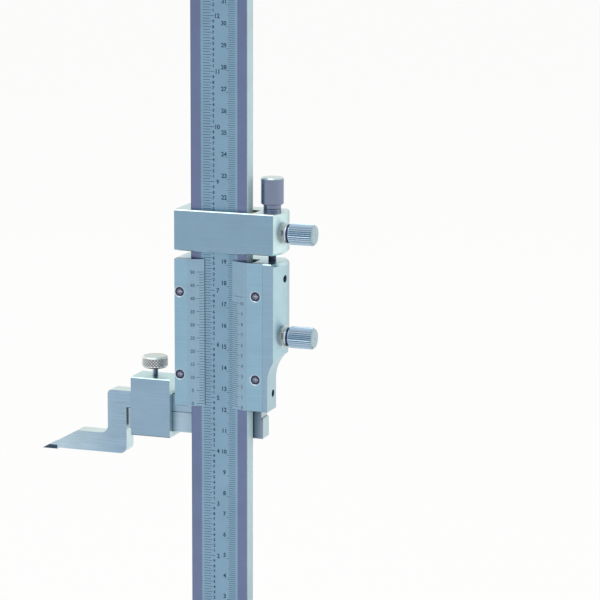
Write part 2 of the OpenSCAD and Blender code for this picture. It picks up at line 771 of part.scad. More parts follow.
module jaw() {
    mid_x = (upright_x0 + upright_x1) / 2;
    color(satin) difference() {
        union() {
            intersection() {
                along_y(jaw_front, jaw_back)
                    chamfered([jaw_x0, jaw_z0], [jaw_x1, jaw_z1], edge_chamfer);
                along_x(jaw_x0 - over, jaw_x1 + over)
                    chamfered([jaw_front, jaw_z0], [jaw_back, jaw_z1], edge_chamfer);
            }
            box([upright_x0, jaw_front, jaw_z0 + jaw_h / 2], [upright_x1, jaw_back, step_z1]);
            box([upright_x0, jaw_back - tongue_t, step_z1 - over], [upright_x1, jaw_back, tongue_z1]);
        }
        for (x = jaw_screw_xs) for (z = jaw_screw_zs) {
            bar_y(x, jaw_front, body_back, z, jaw_screw_r + pin_fit);
            translate([x, jaw_back - jaw_screw_head_r + jaw_screw_r, z]) rotate([-90, 0, 0])
                cylinder(h = jaw_screw_head_r - jaw_screw_r + over, r1 = jaw_screw_r,
                         r2 = jaw_screw_head_r + over);
        }
        for (z = jaw_screw_zs)
            bar_y(mid_x, jaw_front, body_back, z, dowel_r);
    }
}

module jaw_screws() {
    cone_h = jaw_screw_head_r - pin_fit * 2 - jaw_screw_r;
    y1 = jaw_back - pin_fit;
    color(dark_steel) for (x = jaw_screw_xs) for (z = jaw_screw_zs) difference() {
        union() {
            translate([x, y1 - cone_h, z]) rotate([-90, 0, 0])
                cylinder(h = cone_h, r1 = jaw_screw_r, r2 = jaw_screw_r + cone_h);
            bar_y(x, channel_back + loose_fit, y1 - cone_h, z, jaw_screw_r);
        }
        translate([x, y1 + over, z]) rotate([90, 0, 0])
            cylinder(h = jaw_screw_r * 1.2 + over, r = jaw_screw_r * 0.8, $fn = 6);
    }
}

module jaw_dowels() {
    color(bright) for (z = jaw_screw_zs)
        bar_y((upright_x0 + upright_x1) / 2, channel_back + loose_fit, jaw_back, z, dowel_r);
}

module scriber_clamp() {
    color(satin) difference() {
        along_x(clamp_x0, clamp_x1) chamfered([clamp_y0, clamp_z0], [clamp_y1, clamp_z1], edge_chamfer);
        box([clamp_x0 - over, window_y0, jaw_z0], [clamp_x1 + over, window_y1, window_z1]);
        translate([thumb_x, thumb_y, jaw_z1]) {
            cylinder(h = clamp_z1 - jaw_z1 + over, r = thumb_stem_r + pin_fit);
            cylinder(h = shank_h + pad_t + pad_lift + loose_fit, r = pad_r + pin_fit);
        }
    }
}

module clamp_thumbscrew() {
    bevel = thumb_h / 9;
    z0 = shank_z1 + pad_t;
    head = clamp_z1 + thumb_lift - z0;
    color(bright) translate([thumb_x, thumb_y, z0]) rotate_extrude() polygon([
        [0, 0], [thumb_stem_r, 0], [thumb_stem_r, head], [thumb_r - bevel, head],
        [thumb_r, head + bevel], [thumb_r, head + thumb_h - bevel],
        [thumb_r - bevel, head + thumb_h], [0, head + thumb_h]
    ]);
}

module pressure_pad() {
    color("goldenrod") translate([thumb_x, thumb_y, shank_z1]) cylinder(h = pad_t, r = pad_r);
}

// Outline of the scriber's steel body in the XZ plane
module scriber_outline() {
    difference() {
        union() {
            // shank, leg and foot
            translate([leg_x0 + leg_corner, jaw_z1]) square([leg_w + shank_l - leg_corner, shank_h]);
            translate([leg_x0, jaw_z1]) square([leg_w, shank_h - leg_corner]);
            translate([leg_x0 + leg_corner, shank_z1 - leg_corner]) circle(leg_corner);
            translate([leg_x0, belly_z + heel_r]) square([leg_w, jaw_z1 - belly_z - heel_r]);
            translate([leg_x1 - heel_r, belly_z + heel_r]) circle(heel_r);
            polygon([
                [leg_x1 - heel_r, belly_z], [leg_x1 - heel_r, foot_z1], [slope_x0, foot_z1],
                [slope_x1, tip_z1], [tip_x1, tip_z1], [tip_x1, belly_z]
            ]);
            translate([leg_x0 - foot_fillet, foot_z1 - over])
                square([foot_fillet + over, foot_fillet + over]);
        }
        translate([leg_x0 - foot_fillet, foot_z1 + foot_fillet]) circle(foot_fillet);
    }
}

module scriber() {
    color(satin) along_y(scriber_y0, scriber_y1) scriber_outline();
}

module carbide_tip() {
    color([0.2, 0.24, 0.28]) along_y(scriber_y0, scriber_y1) polygon([
        [tip_x0, reading], [tip_x1, reading], [tip_x1, tip_z1], [tip_x0 + tip_bevel_l, tip_z1]
    ]);
}

base();
beam();
base_screws();
beam_stop_screw();
slider_frame();
inch_vernier_plate();
metric_vernier_plate();
vernier_screws();
slider_gib();
gib_screws();
slider_brake_shoe();
slider_clamp_stud();
slider_clamp_knob();
fine_adjust_carrier();
carrier_brake_shoe();
carrier_clamp_stud();
carrier_clamp_knob();
fine_adjust_screw();
fine_adjust_knob();
fine_adjust_collar();
jaw();
jaw_screws();
jaw_dowels();
scriber_clamp();
clamp_thumbscrew();
pressure_pad();
scriber();
carbide_tip();
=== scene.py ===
# %% [markdown]
# # A vernier height gauge in Blender
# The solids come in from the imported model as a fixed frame. This lesson gives each
# of them the finish of the real part, adds the fine things that are too small for
# the solids (graduations, numbers, a knurl, threads), and sets up light and camera.

# %% Frame
import math

import bpy
import numpy as np
from mathutils import Matrix, Vector


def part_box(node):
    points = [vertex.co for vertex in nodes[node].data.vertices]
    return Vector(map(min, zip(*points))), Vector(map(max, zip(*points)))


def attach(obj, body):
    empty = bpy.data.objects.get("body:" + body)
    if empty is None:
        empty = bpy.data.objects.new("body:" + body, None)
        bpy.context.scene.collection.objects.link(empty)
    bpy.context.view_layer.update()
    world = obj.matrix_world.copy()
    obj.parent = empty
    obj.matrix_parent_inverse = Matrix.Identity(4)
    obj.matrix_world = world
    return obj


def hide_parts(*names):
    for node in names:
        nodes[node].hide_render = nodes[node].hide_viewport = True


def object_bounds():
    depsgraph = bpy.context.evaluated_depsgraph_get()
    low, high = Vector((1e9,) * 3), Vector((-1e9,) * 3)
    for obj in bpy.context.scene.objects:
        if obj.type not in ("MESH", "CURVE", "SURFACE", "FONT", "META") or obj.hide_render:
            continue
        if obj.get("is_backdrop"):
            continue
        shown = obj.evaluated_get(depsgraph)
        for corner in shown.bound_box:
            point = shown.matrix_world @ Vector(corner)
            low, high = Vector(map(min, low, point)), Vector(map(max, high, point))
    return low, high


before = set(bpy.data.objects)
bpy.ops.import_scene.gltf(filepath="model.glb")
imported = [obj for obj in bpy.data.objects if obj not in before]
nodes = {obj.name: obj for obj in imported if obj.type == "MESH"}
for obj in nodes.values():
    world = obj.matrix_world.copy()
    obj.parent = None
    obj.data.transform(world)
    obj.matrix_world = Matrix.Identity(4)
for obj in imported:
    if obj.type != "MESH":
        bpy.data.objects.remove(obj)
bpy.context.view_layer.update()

MM = 0.001

# %% [markdown]
# ## Places on the gauge
# Everything that is added sits on a solid, so its place is read from the boxes of
# those solids. The gauge is set to 124 mm. All heights on the slider are counted
# from the scriber's edge, as on the real tool, and the beam's scale starts 30.4 mm
# above the surface plate. The scales lie in a band that is sunk by 0.2 mm between
# two borders of 5 mm. All these places could be typed in as numbers, but read from
# the boxes they can't drift away from the solids.

# %% Places
READING = 124.0
SCALE_ZERO = 30.4
BAND_BORDER = 5.0
BAND_Y = 0.2


def box_mm(name):
    """Lowest and highest corner of a solid, in millimetres."""
    low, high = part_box(name)
    return np.array(low) / MM, np.array(high) / MM


beam_low, beam_high = box_mm("beam")
band_half = (beam_high[0] - beam_low[0]) / 2 - BAND_BORDER
inch_low, inch_high = box_mm("inch_vernier_plate")
metric_low = box_mm("metric_vernier_plate")[0]
print("beam", beam_low.round(2), beam_high.round(2))

# %% [markdown]
# ## Colours
# A colour is written as it is seen, as an sRGB hex value. Blender works in linear
# light, so one function turns the one into the other.


# %% Colours
def linear(hex_value):
    """sRGB hex to linear RGB: (c / 12.92) below 0.04045, else ((c + 0.055) / 1.055) ** 2.4."""
    c = np.array([int(hex_value[i:i + 2], 16) for i in (1, 3, 5)]) / 255
    c = np.where(c <= 0.04045, c / 12.92, ((c + 0.055) / 1.055) ** 2.4)
    return (float(c[0]), float(c[1]), float(c[2]), 1.0)


print("satin chrome in linear light:", [round(v, 3) for v in linear("#b4cbd8")])

# %% [markdown]
# ## Building a material
# A material is a small graph. One helper adds a node, sets its values and plugs in
# its links, so each material reads as a list of what the surface is made of. A
# kind of node is written without the ShaderNode that Blender puts before it. A
# socket goes by its name, or by its number as i0, i1 and so on. In a Map Range, i0
# is what is read, i1 and i2 are where its range starts and ends, and i3 and i4 what
# they turn into, or 0 and 1. In a Mix of colours, i0 is the share, and i6 and i7
# are the two colours.


# %% Node helper
def find_socket(node, key):
    """An input of a node by number, written i0, i1 and so on, or by name, with _ for a space."""
    if key[0] == "i" and key[1:].isdigit():
        return node.inputs[int(key[1:])]
    return node.inputs[key.replace("_", " ")]


def feed(material, socket, value):
    """Gives a socket its value, or a link from an output. A node stands for its first output."""
    if isinstance(value, bpy.types.Node):
        value = value.outputs[0]
    if isinstance(value, bpy.types.NodeSocket):
        material.node_tree.links.new(value, socket)
    else:
        socket.default_value = value


def add_node(material, kind, settings=None, **inputs):
    """Adds a node of a kind. settings are its properties, and inputs what its sockets are fed."""
    node = material.node_tree.nodes.new("ShaderNode" + kind)
    for key, value in (settings or {}).items():
        setattr(node, key, value)
    for key, value in inputs.items():
        feed(material, find_socket(node, key), value)
    return node


def new_material(name):
    """An empty material with its output node, and the Principled shader plugged into it."""
    material = bpy.data.materials.new(name)
    material.use_nodes = True
    material.node_tree.nodes.clear()
    shader = add_node(material, "BsdfPrincipled")
    add_node(material, "OutputMaterial", Surface=shader)
    return material, shader


print("node helper ready")

# %% [markdown]
# Four steps come back in most finishes: where a point lies and how its face is
# turned, a colour times a factor, a roughness that follows a pattern, and a relief.
# Blender's noise lies mostly between 0.3 and 0.7, so that range is spread out.

# %% Finish helpers
NOISE_LOW, NOISE_HIGH = 0.3, 0.7


def read_surface(material):
    """A point's place, and the X, Y and Z of the normal there."""
    place = add_node(material, "TexCoord").outputs["Object"]
    normal = add_node(material, "NewGeometry").outputs["Normal"]
    return place, add_node(material, "SeparateXYZ", Vector=normal).outputs


def set_colour(material, shader, tone, factor):
    """Base colour = tone * factor."""
    tint = add_node(material, "Mix", {"data_type": "RGBA", "blend_type": "MULTIPLY"},
                    i0=1.0, i6=tone, i7=factor)
    feed(material, shader.inputs["Base Color"], tint.outputs[2])


def set_gloss(material, shader, pattern, smoothest, roughest):
    """Roughness = smoothest to roughest, as the pattern goes from low to high."""
    rough = add_node(material, "MapRange", i0=pattern, i1=NOISE_LOW, i2=NOISE_HIGH,
                     i3=smoothest, i4=roughest)
    feed(material, shader.inputs["Roughness"], rough)


def set_relief(material, shader, pattern, strength, depth_mm=0.01):
    """Normal of a surface raised by depth_mm * pattern; strength is how much of it shows."""
    bump = add_node(material, "Bump", Strength=strength, Distance=depth_mm * MM, Height=pattern)
    feed(material, shader.inputs["Normal"], bump)


print("finish helpers ready")

# %% [markdown]
# ## Ground and satin-chromed steel
# The slider, the carrier and the vernier plates are ground steel. Their front faces
# are blasted and chromed so that they don't dazzle the reader, while the ends and
# sides keep the bright ground finish; the sides' lighter colour also paints the
# brighter light that they catch. One recipe does both: it looks which way a face
# points. Each face could have a material of its own instead, but that would change
# the solids. A corner where two parts meet gets less light than an open face, and
# that shade is painted into the colour. Ambient occlusion finds such corners,
# because it measures how open the space before a point is.

# %% Corners
CLOSED_AT = 0.3


def openness(material, reach_mm, darkest, open_at=0.95):
    """A painted shade factor: 1 on an open face, down to darkest in a narrow corner, looking reach_mm far.
    """
    near = add_node(material, "AmbientOcclusion", {"samples": 8}, Distance=reach_mm * MM)
    return add_node(material, "MapRange", i0=near.outputs["AO"],
                    i1=CLOSED_AT, i2=open_at, i3=darkest, i4=1.0)


print("corners ready")

# %% [markdown]
# Over the two main colours lie marks, each a mask and a colour, and most of them
# are painted light and shade: chamfers turned to the left and down are painted
# dark, as painted shade where the room is dark; a front that leans right and one
# that leans left get a darker and a lighter copy of the colour; tops are painted
# lighter where they catch the light, and the plates' tops darker in the carrier's
# shade; backs are painted darker; and bright rings round countersunk screws are
# painted highlights. They could be painted on a picture wrapped round the solid,
# but masks worked out from a point's place and normal stay sharp from any
# distance. A pair of numbers says how far the normal has turned where a mark
# starts and where it is full.

# %% Marks
LEAN_AT, EDGE_AT, TOP_AT, BACK_AT = (0.2, 0.3), (0.3, 0.45), (0.5, 0.65), (-0.1, 0.35)
RING_SOFT = 0.1


def marks_over(material, place, facing, front, edge_hex=None, bottom_edge=1.0, bevels=(), top_hex=None,
               back_hex=None, far=None, rings=()):
    """A list of masks and colours, the lowest first; most of them are painted light and shade.

    edge_hex colours the chamfers turned to the left and, by bottom_edge, down; bevels are the colours
    of a front that leans to the right and to the left; top_hex and back_hex of what faces up and back.
    far is (x0, x1, hex), a front's colour that comes in from x0 to x1 mm, and rings are (centre,
    radius, hex)."""
    layers = []
    if far:
        x = add_node(material, "SeparateXYZ", Vector=place).outputs["X"]
        share = add_node(material, "MapRange", i0=x, i1=far[0] * MM, i2=far[1] * MM)
        past = add_node(material, "Math", {"operation": "MULTIPLY"}, i0=share, i1=front)
        layers.append((past, far[2]))
    for lean, hex_value in zip((1, -1), bevels):
        share = add_node(material, "MapRange", i0=facing["X"], i1=LEAN_AT[0] * lean, i2=LEAN_AT[1] * lean)
        bevel = add_node(material, "Math", {"operation": "MULTIPLY"}, i0=share, i1=front)
        layers.append((bevel, hex_value))
    if edge_hex:
        leaning = add_node(material, "Math", {"operation": "MULTIPLY_ADD"},
                           i0=facing["Z"], i1=bottom_edge, i2=facing["X"])
        corner = add_node(material, "Math", {"operation": "MULTIPLY"}, i0=leaning, i1=facing["Y"])
        edge = add_node(material, "MapRange", i0=corner, i1=EDGE_AT[0], i2=EDGE_AT[1])
        layers.append((edge, edge_hex))
    for axis, turned, hex_value in (("Z", TOP_AT, top_hex), ("Y", BACK_AT, back_hex)):
        if hex_value:
            side = add_node(material, "MapRange", i0=facing[axis], i1=turned[0], i2=turned[1])
            layers.append((side, hex_value))
    for centre, radius, hex_value in rings:
        away = add_node(material, "VectorMath", {"operation": "DISTANCE"}, i0=place,
                        i1=tuple(np.array(centre) * MM))
        ring = add_node(material, "MapRange", i0=away.outputs["Value"],
                        i1=(radius + RING_SOFT) * MM, i2=(radius - RING_SOFT) * MM)
        layers.append((ring, hex_value))
    return layers


print("marks ready")

# %% [markdown]
# A clamp stud comes out of a dish in the side of its slide. A dish is scraped by the
# cutter and too coarse to mirror anything, so it is less metallic there, and its
# near-white colour is a painted highlight. The hollow itself is in the solid. A
# sphere round the stud's axis marks where the finish goes, which gives it a soft,
# round edge.

# %% Dishes
DISH_R, DISH_RIM, DISH_METAL = 5.8, 1.5, 0.5
slider_high = box_mm("slider_frame")[1]
knob_low, knob_high = box_mm("slider_clamp_knob")
dish_x, dish_y = slider_high[0], (knob_low[1] + knob_high[1]) / 2


def knob_axis_z(knob):
    """Height of a clamp knob's axis, which is also its dish's."""
    low, high = box_mm(knob)
    return (low[2] + high[2]) / 2


def scraped_dish(material, shader, place, z, hex_value):
    """The mask and painted highlight colour of a dish round the axis at height z. It also plugs in the
    metallic value.
    """
    away = add_node(material, "VectorMath", {"operation": "DISTANCE"}, i0=place,
                    i1=(dish_x * MM, dish_y * MM, z * MM))
    dish_area = add_node(material, "MapRange", i0=away.outputs["Value"],
                       i1=DISH_R * MM, i2=(DISH_R - DISH_RIM) * MM)
    metal = add_node(material, "MapRange", i0=dish_area, i3=1.0, i4=DISH_METAL)
    feed(material, shader.inputs["Metallic"], metal)
    return dish_area, hex_value


print("dish axis at y", round(dish_y, 2), "mm")

# %% [markdown]
# Now the recipe. Blasting leaves a fine grain of about 0.15 mm, drawn at 0.3 mm so
# that it shows. It spreads the light, and gives the eye a soft, even grey. Grinding
# leaves lines along the long way of the part, which draw a highlight out across them.
# Both are noise, and for the lines it is stretched 40 times. A cloud of 9 mm makes
# colour and gloss wander a little, as on any metal that has been used.

# %% Metal recipe
GRAIN_MM, CLOUD_MM, LINE_STRETCH = 0.3, 9, 40
LINE_LOW, LINE_HIGH = 0.35, 0.65
WANDER = 0.08


def steel(name, face_hex, side_hex, face_rough=0.36, side_rough=0.26, along="x", line_mm=0.5, grain=0.25,
          lines=0.3, blotch=0.04, streak=0.03, shade_reach_mm=2.5, shade_darkest=0.6, front_at=(-0.8, -0.97), dish=None,
          **marks):
    """Metal with a satin front face and ground sides.

    colour = mix(side, face, front), under its marks, * (1 +- blotch * cloud) * (1 +- streak * lines)
    * the painted shade of corners. grain and lines are the strengths of the two reliefs, and dish is (z,
      hex)."""
    material, shader = new_material(name)
    place, facing = read_surface(material)
    front = add_node(material, "MapRange", i0=facing["Y"], i1=front_at[0], i2=front_at[1])
    cloud = add_node(material, "TexNoise", Vector=place, Scale=1 / (CLOUD_MM * MM),
                     Detail=4.0, Roughness=0.6)
    grains = add_node(material, "TexNoise", Vector=place, Scale=1 / (GRAIN_MM * MM), Detail=2.0)
    stretch = {"x": (1 / LINE_STRETCH, 1, 1), "z": (1, 1, 1 / LINE_STRETCH)}[along]
    run = add_node(material, "Mapping", Vector=place, Scale=stretch)
    ground = add_node(material, "TexNoise", Vector=run, Scale=1 / (line_mm * MM), Detail=3.0)
    tone = add_node(material, "Mix", {"data_type": "RGBA"},
                    i0=front, i6=linear(side_hex), i7=linear(face_hex)).outputs[2]
    shader.inputs["Metallic"].default_value = 1.0
    layers = marks_over(material, place, facing, front, **marks)
    if dish:
        layers.append(scraped_dish(material, shader, place, *dish))
    for mask, hex_value in layers:
        tone = add_node(material, "Mix", {"data_type": "RGBA"},
                        i0=mask, i6=tone, i7=linear(hex_value)).outputs[2]
    shade = add_node(material, "MapRange", i0=cloud, i1=NOISE_LOW, i2=NOISE_HIGH,
                     i3=1 - blotch, i4=1 + blotch)
    streaks = add_node(material, "MapRange", i0=ground, i1=LINE_LOW, i2=LINE_HIGH,
                       i3=1 - streak, i4=1 + streak)
    uneven = add_node(material, "Math", {"operation": "MULTIPLY"}, i0=shade, i1=streaks)
    # The painted shade of corners darkens the colour here.
    mottle_and_painted_shade = add_node(material, "Math", {"operation": "MULTIPLY"},
                      i0=uneven, i1=openness(material, shade_reach_mm, shade_darkest))
    set_colour(material, shader, tone, mottle_and_painted_shade)
    rough = add_node(material, "MapRange", i0=front, i3=side_rough, i4=face_rough)
    wear_and_painted_light = add_node(material, "Math", {"operation": "MULTIPLY_ADD"}, i0=cloud, i1=WANDER, i2=rough)
    feed(material, shader.inputs["Roughness"], wear_and_painted_light)
    height = add_node(material, "Mix", {"data_type": "FLOAT"}, i0=front, i2=ground, i3=grains)
    power = add_node(material, "MapRange", i0=front, i3=lines, i4=grain)
    set_relief(material, shader, height, power)
    return material


print("metal recipe ready")

# %% [markdown]
# The slider, the carrier and the plates each have their own shade. The bright ring
# round each screw is a painted highlight on the rim of its countersink. The lighter
# tops, the darker backs, the dark chamfers, the plates' two bevels and darker tops,
# and the near-white dishes are painted light and shade.

# %% Chromed steels
DARK_EDGE = "#4f606e"
PLATE_HEAD_R, CSK_RIM = 2.1, 0.55
screws_low, screws_high = box_mm("vernier_screws")
# Each ring is a painted highlight on a countersink's rim.
countersink_highlights = [((x, screws_low[1], z), PLATE_HEAD_R + CSK_RIM, "#c3d4df")
                for x in (screws_low[0] + PLATE_HEAD_R, screws_high[0] - PLATE_HEAD_R)
                for z in (screws_low[2] + PLATE_HEAD_R, screws_high[2] - PLATE_HEAD_R)]
frame_steel = steel("satin_chromed_frame_steel", "#94b1c6", "#b3d0d9", shade_darkest=0.75, edge_hex=DARK_EDGE,
                    bottom_edge=0.0, back_hex="#849ca8", top_hex="#cae8f0",
                    dish=(knob_axis_z("slider_clamp_knob"), "#f6ffff"))
carrier_steel = steel("satin_chromed_carrier_steel", "#8caabf", "#cfe8ea", shade_darkest=0.75, edge_hex=DARK_EDGE,
                      bottom_edge=0.0, back_hex="#8ba3ad",
                      dish=(knob_axis_z("carrier_clamp_knob"), "#f6ffff"))
plate_steel = steel("satin_chromed_plate_steel", "#95b8cd", "#dcebf2", front_at=(-0.75, -0.88), shade_darkest=0.95,
                    edge_hex=DARK_EDGE, top_hex="#6d8597", bevels=("#95b3c7", "#a8cadf"), rings=countersink_highlights)
print("countersinks:", len(countersink_highlights))

# %% [markdown]
# The jaw and the scriber are ground all over after hardening, with lines along
# their length that show as streaks. The jaw lies in the shelter of the slider and
# the clamp, so its painted corner shade looks further away, and paints the clamp's
# shadow on it. Its short right end, past the beam, is painted darker, as the shade
# under the slider. The scriber's tip is tungsten carbide, dark and very finely
# ground. All of them are the same recipe with other numbers, so they look like one
# family of metals, as they do on the tool.

# %% Tool steels
jaw_steel = steel("ground_tool_steel", "#afc8da", "#b4c9cf", 0.3, 0.22, streak=0.05, shade_reach_mm=9, shade_darkest=0.4,
                  far=(13.5, 14.5, "#98a8bb"))
# The scriber's and the clamp's dark chamfers are painted shade, and the clamp's lighter top is painted
# light.
scriber_steel = steel("ground_scriber_steel", "#99b3c8", "#c8dfe0", 0.3, 0.22, blotch=0.05, streak=0.10,
                      edge_hex=DARK_EDGE, far=(-56.0, -84.0, "#bad0dc"))
clamp_steel = steel("ground_clamp_steel", "#93aec3", "#c2dade", 0.32, 0.24, blotch=0.05, streak=0.04,
                    edge_hex=DARK_EDGE, top_hex="#b6dade", shade_reach_mm=4, shade_darkest=0.5)
carbide = steel("ground_tungsten_carbide", "#3d5060", "#a3b6bf", 0.25, 0.2, streak=0.02, shade_darkest=0.9)
print("three tool steels and the carbide")

# %% [markdown]
# Turned parts have no front face, so their two colours are the same. The collar and
# the dowels are polished, and mirror the room sharply. The studs are as the lathe
# left them, a softer grey. The small screws are blued in hot salts, which leaves
# them a dark slate with a satin gloss.

# %% Turned steels
polished_steel = steel("polished_steel", "#c4d8de", "#c4d8de", 0.14, 0.14, line_mm=0.3, lines=0.1,
                       streak=0.02)
stud_steel = steel("turned_stud_steel", "#a9b9c6", "#a9b9c6", 0.25, 0.25, streak=0.02, shade_darkest=0.85)
blued_steel = steel("blued_screw_steel", "#4a5068", "#4a5068", 0.3, 0.3, grain=0.1, lines=0.1)
stem_steel = steel("blued_stem_steel", "#56627a", "#56627a", 0.25, 0.25, along="z")
print("four turned steels")

# %% [markdown]
# ## Clamp knobs
# A knob is one bar, but it is finished in four lengths: a bright seat, a blued
# collar, the rolled flutes and a bright turned end. Its faces could be given four
# materials, but one that reads the place leaves the solid as it is: the bar runs
# along X, so X tells the lengths apart. The flutes' valleys and the underside are
# painted darker, as painted shade. The lathe leaves fine rings round the bar, so
# the noise is stretched across it.

# %% Knob steel
SEAT_L, COLLAR_L, END_L, STEP = 0.8, 1.9, 1.1, 0.08
RING_MM, TURNED = 0.2, 1 / 20
knob_steel, shader = new_material("rolled_knob_steel")
place, facing = read_surface(knob_steel)
x = add_node(knob_steel, "SeparateXYZ", Vector=place).outputs["X"]
lengths = [(knob_low[0] + SEAT_L, "#36415a"), (knob_low[0] + COLLAR_L, "#b4ccde"),
           (knob_high[0] - END_L, "#a6bec7")]
tone = linear("#c4d2da")
for start, hex_value in lengths:
    past = add_node(knob_steel, "MapRange", i0=x, i1=(start - STEP) * MM, i2=start * MM)
    tone = add_node(knob_steel, "Mix", {"data_type": "RGBA"},
                    i0=past, i6=tone, i7=linear(hex_value)).outputs[2]
painted_underside_shade = add_node(knob_steel, "MapRange", i0=facing["Z"], i1=-0.5, i2=-0.85, i3=1.0, i4=0.5)
with_painted_shade = add_node(knob_steel, "Math", {"operation": "MULTIPLY"}, i0=painted_underside_shade, i1=openness(knob_steel, 0.8, 0.3))
set_colour(knob_steel, shader, tone, with_painted_shade)
shader.inputs["Metallic"].default_value = 1.0
turned = add_node(knob_steel, "Mapping", Vector=place, Scale=(1, TURNED, TURNED))
rings = add_node(knob_steel, "TexNoise", Vector=turned, Scale=1 / (RING_MM * MM), Detail=3.0)
set_gloss(knob_steel, shader, rings, 0.24, 0.36)
set_relief(knob_steel, shader, rings, 0.15)
print("knob from", knob_low[0].round(2), "to", knob_high[0].round(2), "mm")

# %% [markdown]
# The fine-adjust knob stands upright. Its side is dark slate, and its turned top
# and rim are bright, so here the normal's Z chooses the colour.

# %% Fine-adjust knob steel
FINE_RING_MM = 0.3
fine_knob_steel, shader = new_material("dark_turned_knob_steel")
place, facing = read_surface(fine_knob_steel)
top = add_node(fine_knob_steel, "MapRange", i0=facing["Z"], i1=0.3, i2=0.6)
tone = add_node(fine_knob_steel, "Mix", {"data_type": "RGBA"}, i0=top,
                i6=linear("#808ba3"), i7=linear("#c3d6da")).outputs[2]
# The knob's corners get painted shade.
set_colour(fine_knob_steel, shader, tone, openness(fine_knob_steel, 2.0, 0.75))
shader.inputs["Metallic"].default_value = 1.0
turned = add_node(fine_knob_steel, "Mapping", Vector=place, Scale=(TURNED, TURNED, 1))
rings = add_node(fine_knob_steel, "TexNoise", Vector=turned, Scale=1 / (FINE_RING_MM * MM), Detail=3.0)
set_gloss(fine_knob_steel, shader, rings, 0.2, 0.32)
set_relief(fine_knob_steel, shader, rings, 0.15)
print(fine_knob_steel.name)

# %% [markdown]
# ## Plate screws
# The four plate screws are one solid group. A head is blued; its rim is painted
# dark as the shade in the gap round the head, and its middle and its cross are
# lighter. How far a point lies from its own screw's axis is found by folding the
# plate's rectangle onto one quarter: r = length(abs(p - middle) - half the spacing).

# %% Screw steel
WORN_R, WORN_RIM, CROSS_Y, SPECK_MM = 1.5, 0.4, 0.35, 0.4
screws_middle = (screws_low + screws_high) / 2
spread = (screws_high - screws_low) / 2 - PLATE_HEAD_R
screw_steel, shader = new_material("blued_cross_head_screw_steel")
place = add_node(screw_steel, "TexCoord").outputs["Object"]
shifted = add_node(screw_steel, "VectorMath", {"operation": "SUBTRACT"}, i0=place,
                   i1=tuple(screws_middle * MM))
folded = add_node(screw_steel, "VectorMath", {"operation": "ABSOLUTE"}, i0=shifted)
local = add_node(screw_steel, "VectorMath", {"operation": "SUBTRACT"}, i0=folded,
                 i1=(spread[0] * MM, 0, spread[2] * MM))
flat = add_node(screw_steel, "VectorMath", {"operation": "MULTIPLY"}, i0=local, i1=(1, 0, 1))
radius = add_node(screw_steel, "VectorMath", {"operation": "LENGTH"}, i0=flat)
wear_and_painted_light = add_node(screw_steel, "MapRange", i0=radius.outputs["Value"],
                i1=WORN_R * MM, i2=(WORN_R - WORN_RIM) * MM)
tone = add_node(screw_steel, "Mix", {"data_type": "RGBA"}, i0=wear_and_painted_light,
                i6=linear("#3c4258"), i7=linear("#7b7c92"))
y = add_node(screw_steel, "SeparateXYZ", Vector=place).outputs["Y"]
cross = add_node(screw_steel, "MapRange", i0=y,
                 i1=(screws_low[1] + CROSS_Y) * MM, i2=(screws_low[1] + 2 * CROSS_Y) * MM)
tone = add_node(screw_steel, "Mix", {"data_type": "RGBA"}, i0=cross,
                i6=tone.outputs[2], i7=linear("#bfc3d2"))
feed(screw_steel, shader.inputs["Base Color"], tone.outputs[2])
shader.inputs["Metallic"].default_value = 1.0
specks = add_node(screw_steel, "TexNoise", Vector=place, Scale=1 / (SPECK_MM * MM), Detail=2.0)
set_gloss(screw_steel, shader, specks, 0.25, 0.4)
print("screws spread by", (2 * spread[[0, 2]]).round(2), "mm")

# %% [markdown]
# ## The beam
# The beam is hardened steel. Its borders are polished bright, and their dark colour
# is a painted reflection of the dark of the room; the band between them is satin
# chromed for the scales. A point belongs to the band if it lies within the band's
# half width, on a face that looks forward. The left chamfer is painted dark along
# its whole height, as painted shade, and where the slider and carrier ride close
# over the beam, their shade on its front is painted into the colour. The sides and
# the back are blasted matt, so they don't mirror the jaw beside them: such a
# surface is drawn as mostly pale scatter, with little of the metal's gloss. The
# borders and the band could be faces with slots of their own, but the same tests
# of place and normal as in the metal recipe leave the solid as it is.

# %% Beam steel
BAND_SOFT, BEAM_CLOUD_MM, BEAM_LINE_MM, BEAM_STRETCH = 0.05, 14, 0.3, 60
beam_steel, shader = new_material("polished_beam_with_satin_band")
place, facing = read_surface(beam_steel)
x = add_node(beam_steel, "SeparateXYZ", Vector=place).outputs["X"]
across = add_node(beam_steel, "Math", {"operation": "ABSOLUTE"}, i0=x)
inside = add_node(beam_steel, "MapRange", i0=across,
                  i1=(band_half + BAND_SOFT) * MM, i2=(band_half - BAND_SOFT) * MM)
front = add_node(beam_steel, "MapRange", i0=facing["Y"], i1=-0.8, i2=-0.95)
band = add_node(beam_steel, "Math", {"operation": "MULTIPLY"}, i0=inside, i1=front)
corner = add_node(beam_steel, "Math", {"operation": "MULTIPLY"}, i0=facing["X"], i1=facing["Y"])
edge = add_node(beam_steel, "MapRange", i0=corner, i1=EDGE_AT[0], i2=EDGE_AT[1])
tone = linear("#b6d3de")
for mask, hex_value in ((front, "#707c9d"), (band, "#88a9c0"), (edge, "#333d49")):
    tone = add_node(beam_steel, "Mix", {"data_type": "RGBA"},
                    i0=mask, i6=tone, i7=linear(hex_value)).outputs[2]
cloud = add_node(beam_steel, "TexNoise", Vector=place, Scale=1 / (BEAM_CLOUD_MM * MM), Detail=4.0)
shade = add_node(beam_steel, "MapRange", i0=cloud, i1=NOISE_LOW, i2=NOISE_HIGH, i3=0.95, i4=1.05)
painted_front_shade = add_node(beam_steel, "MapRange", i0=front, i3=1.0, i4=openness(beam_steel, 10.0, 0.4, 0.6))
mottle_and_painted_shade = add_node(beam_steel, "Math", {"operation": "MULTIPLY"}, i0=shade, i1=painted_front_shade)
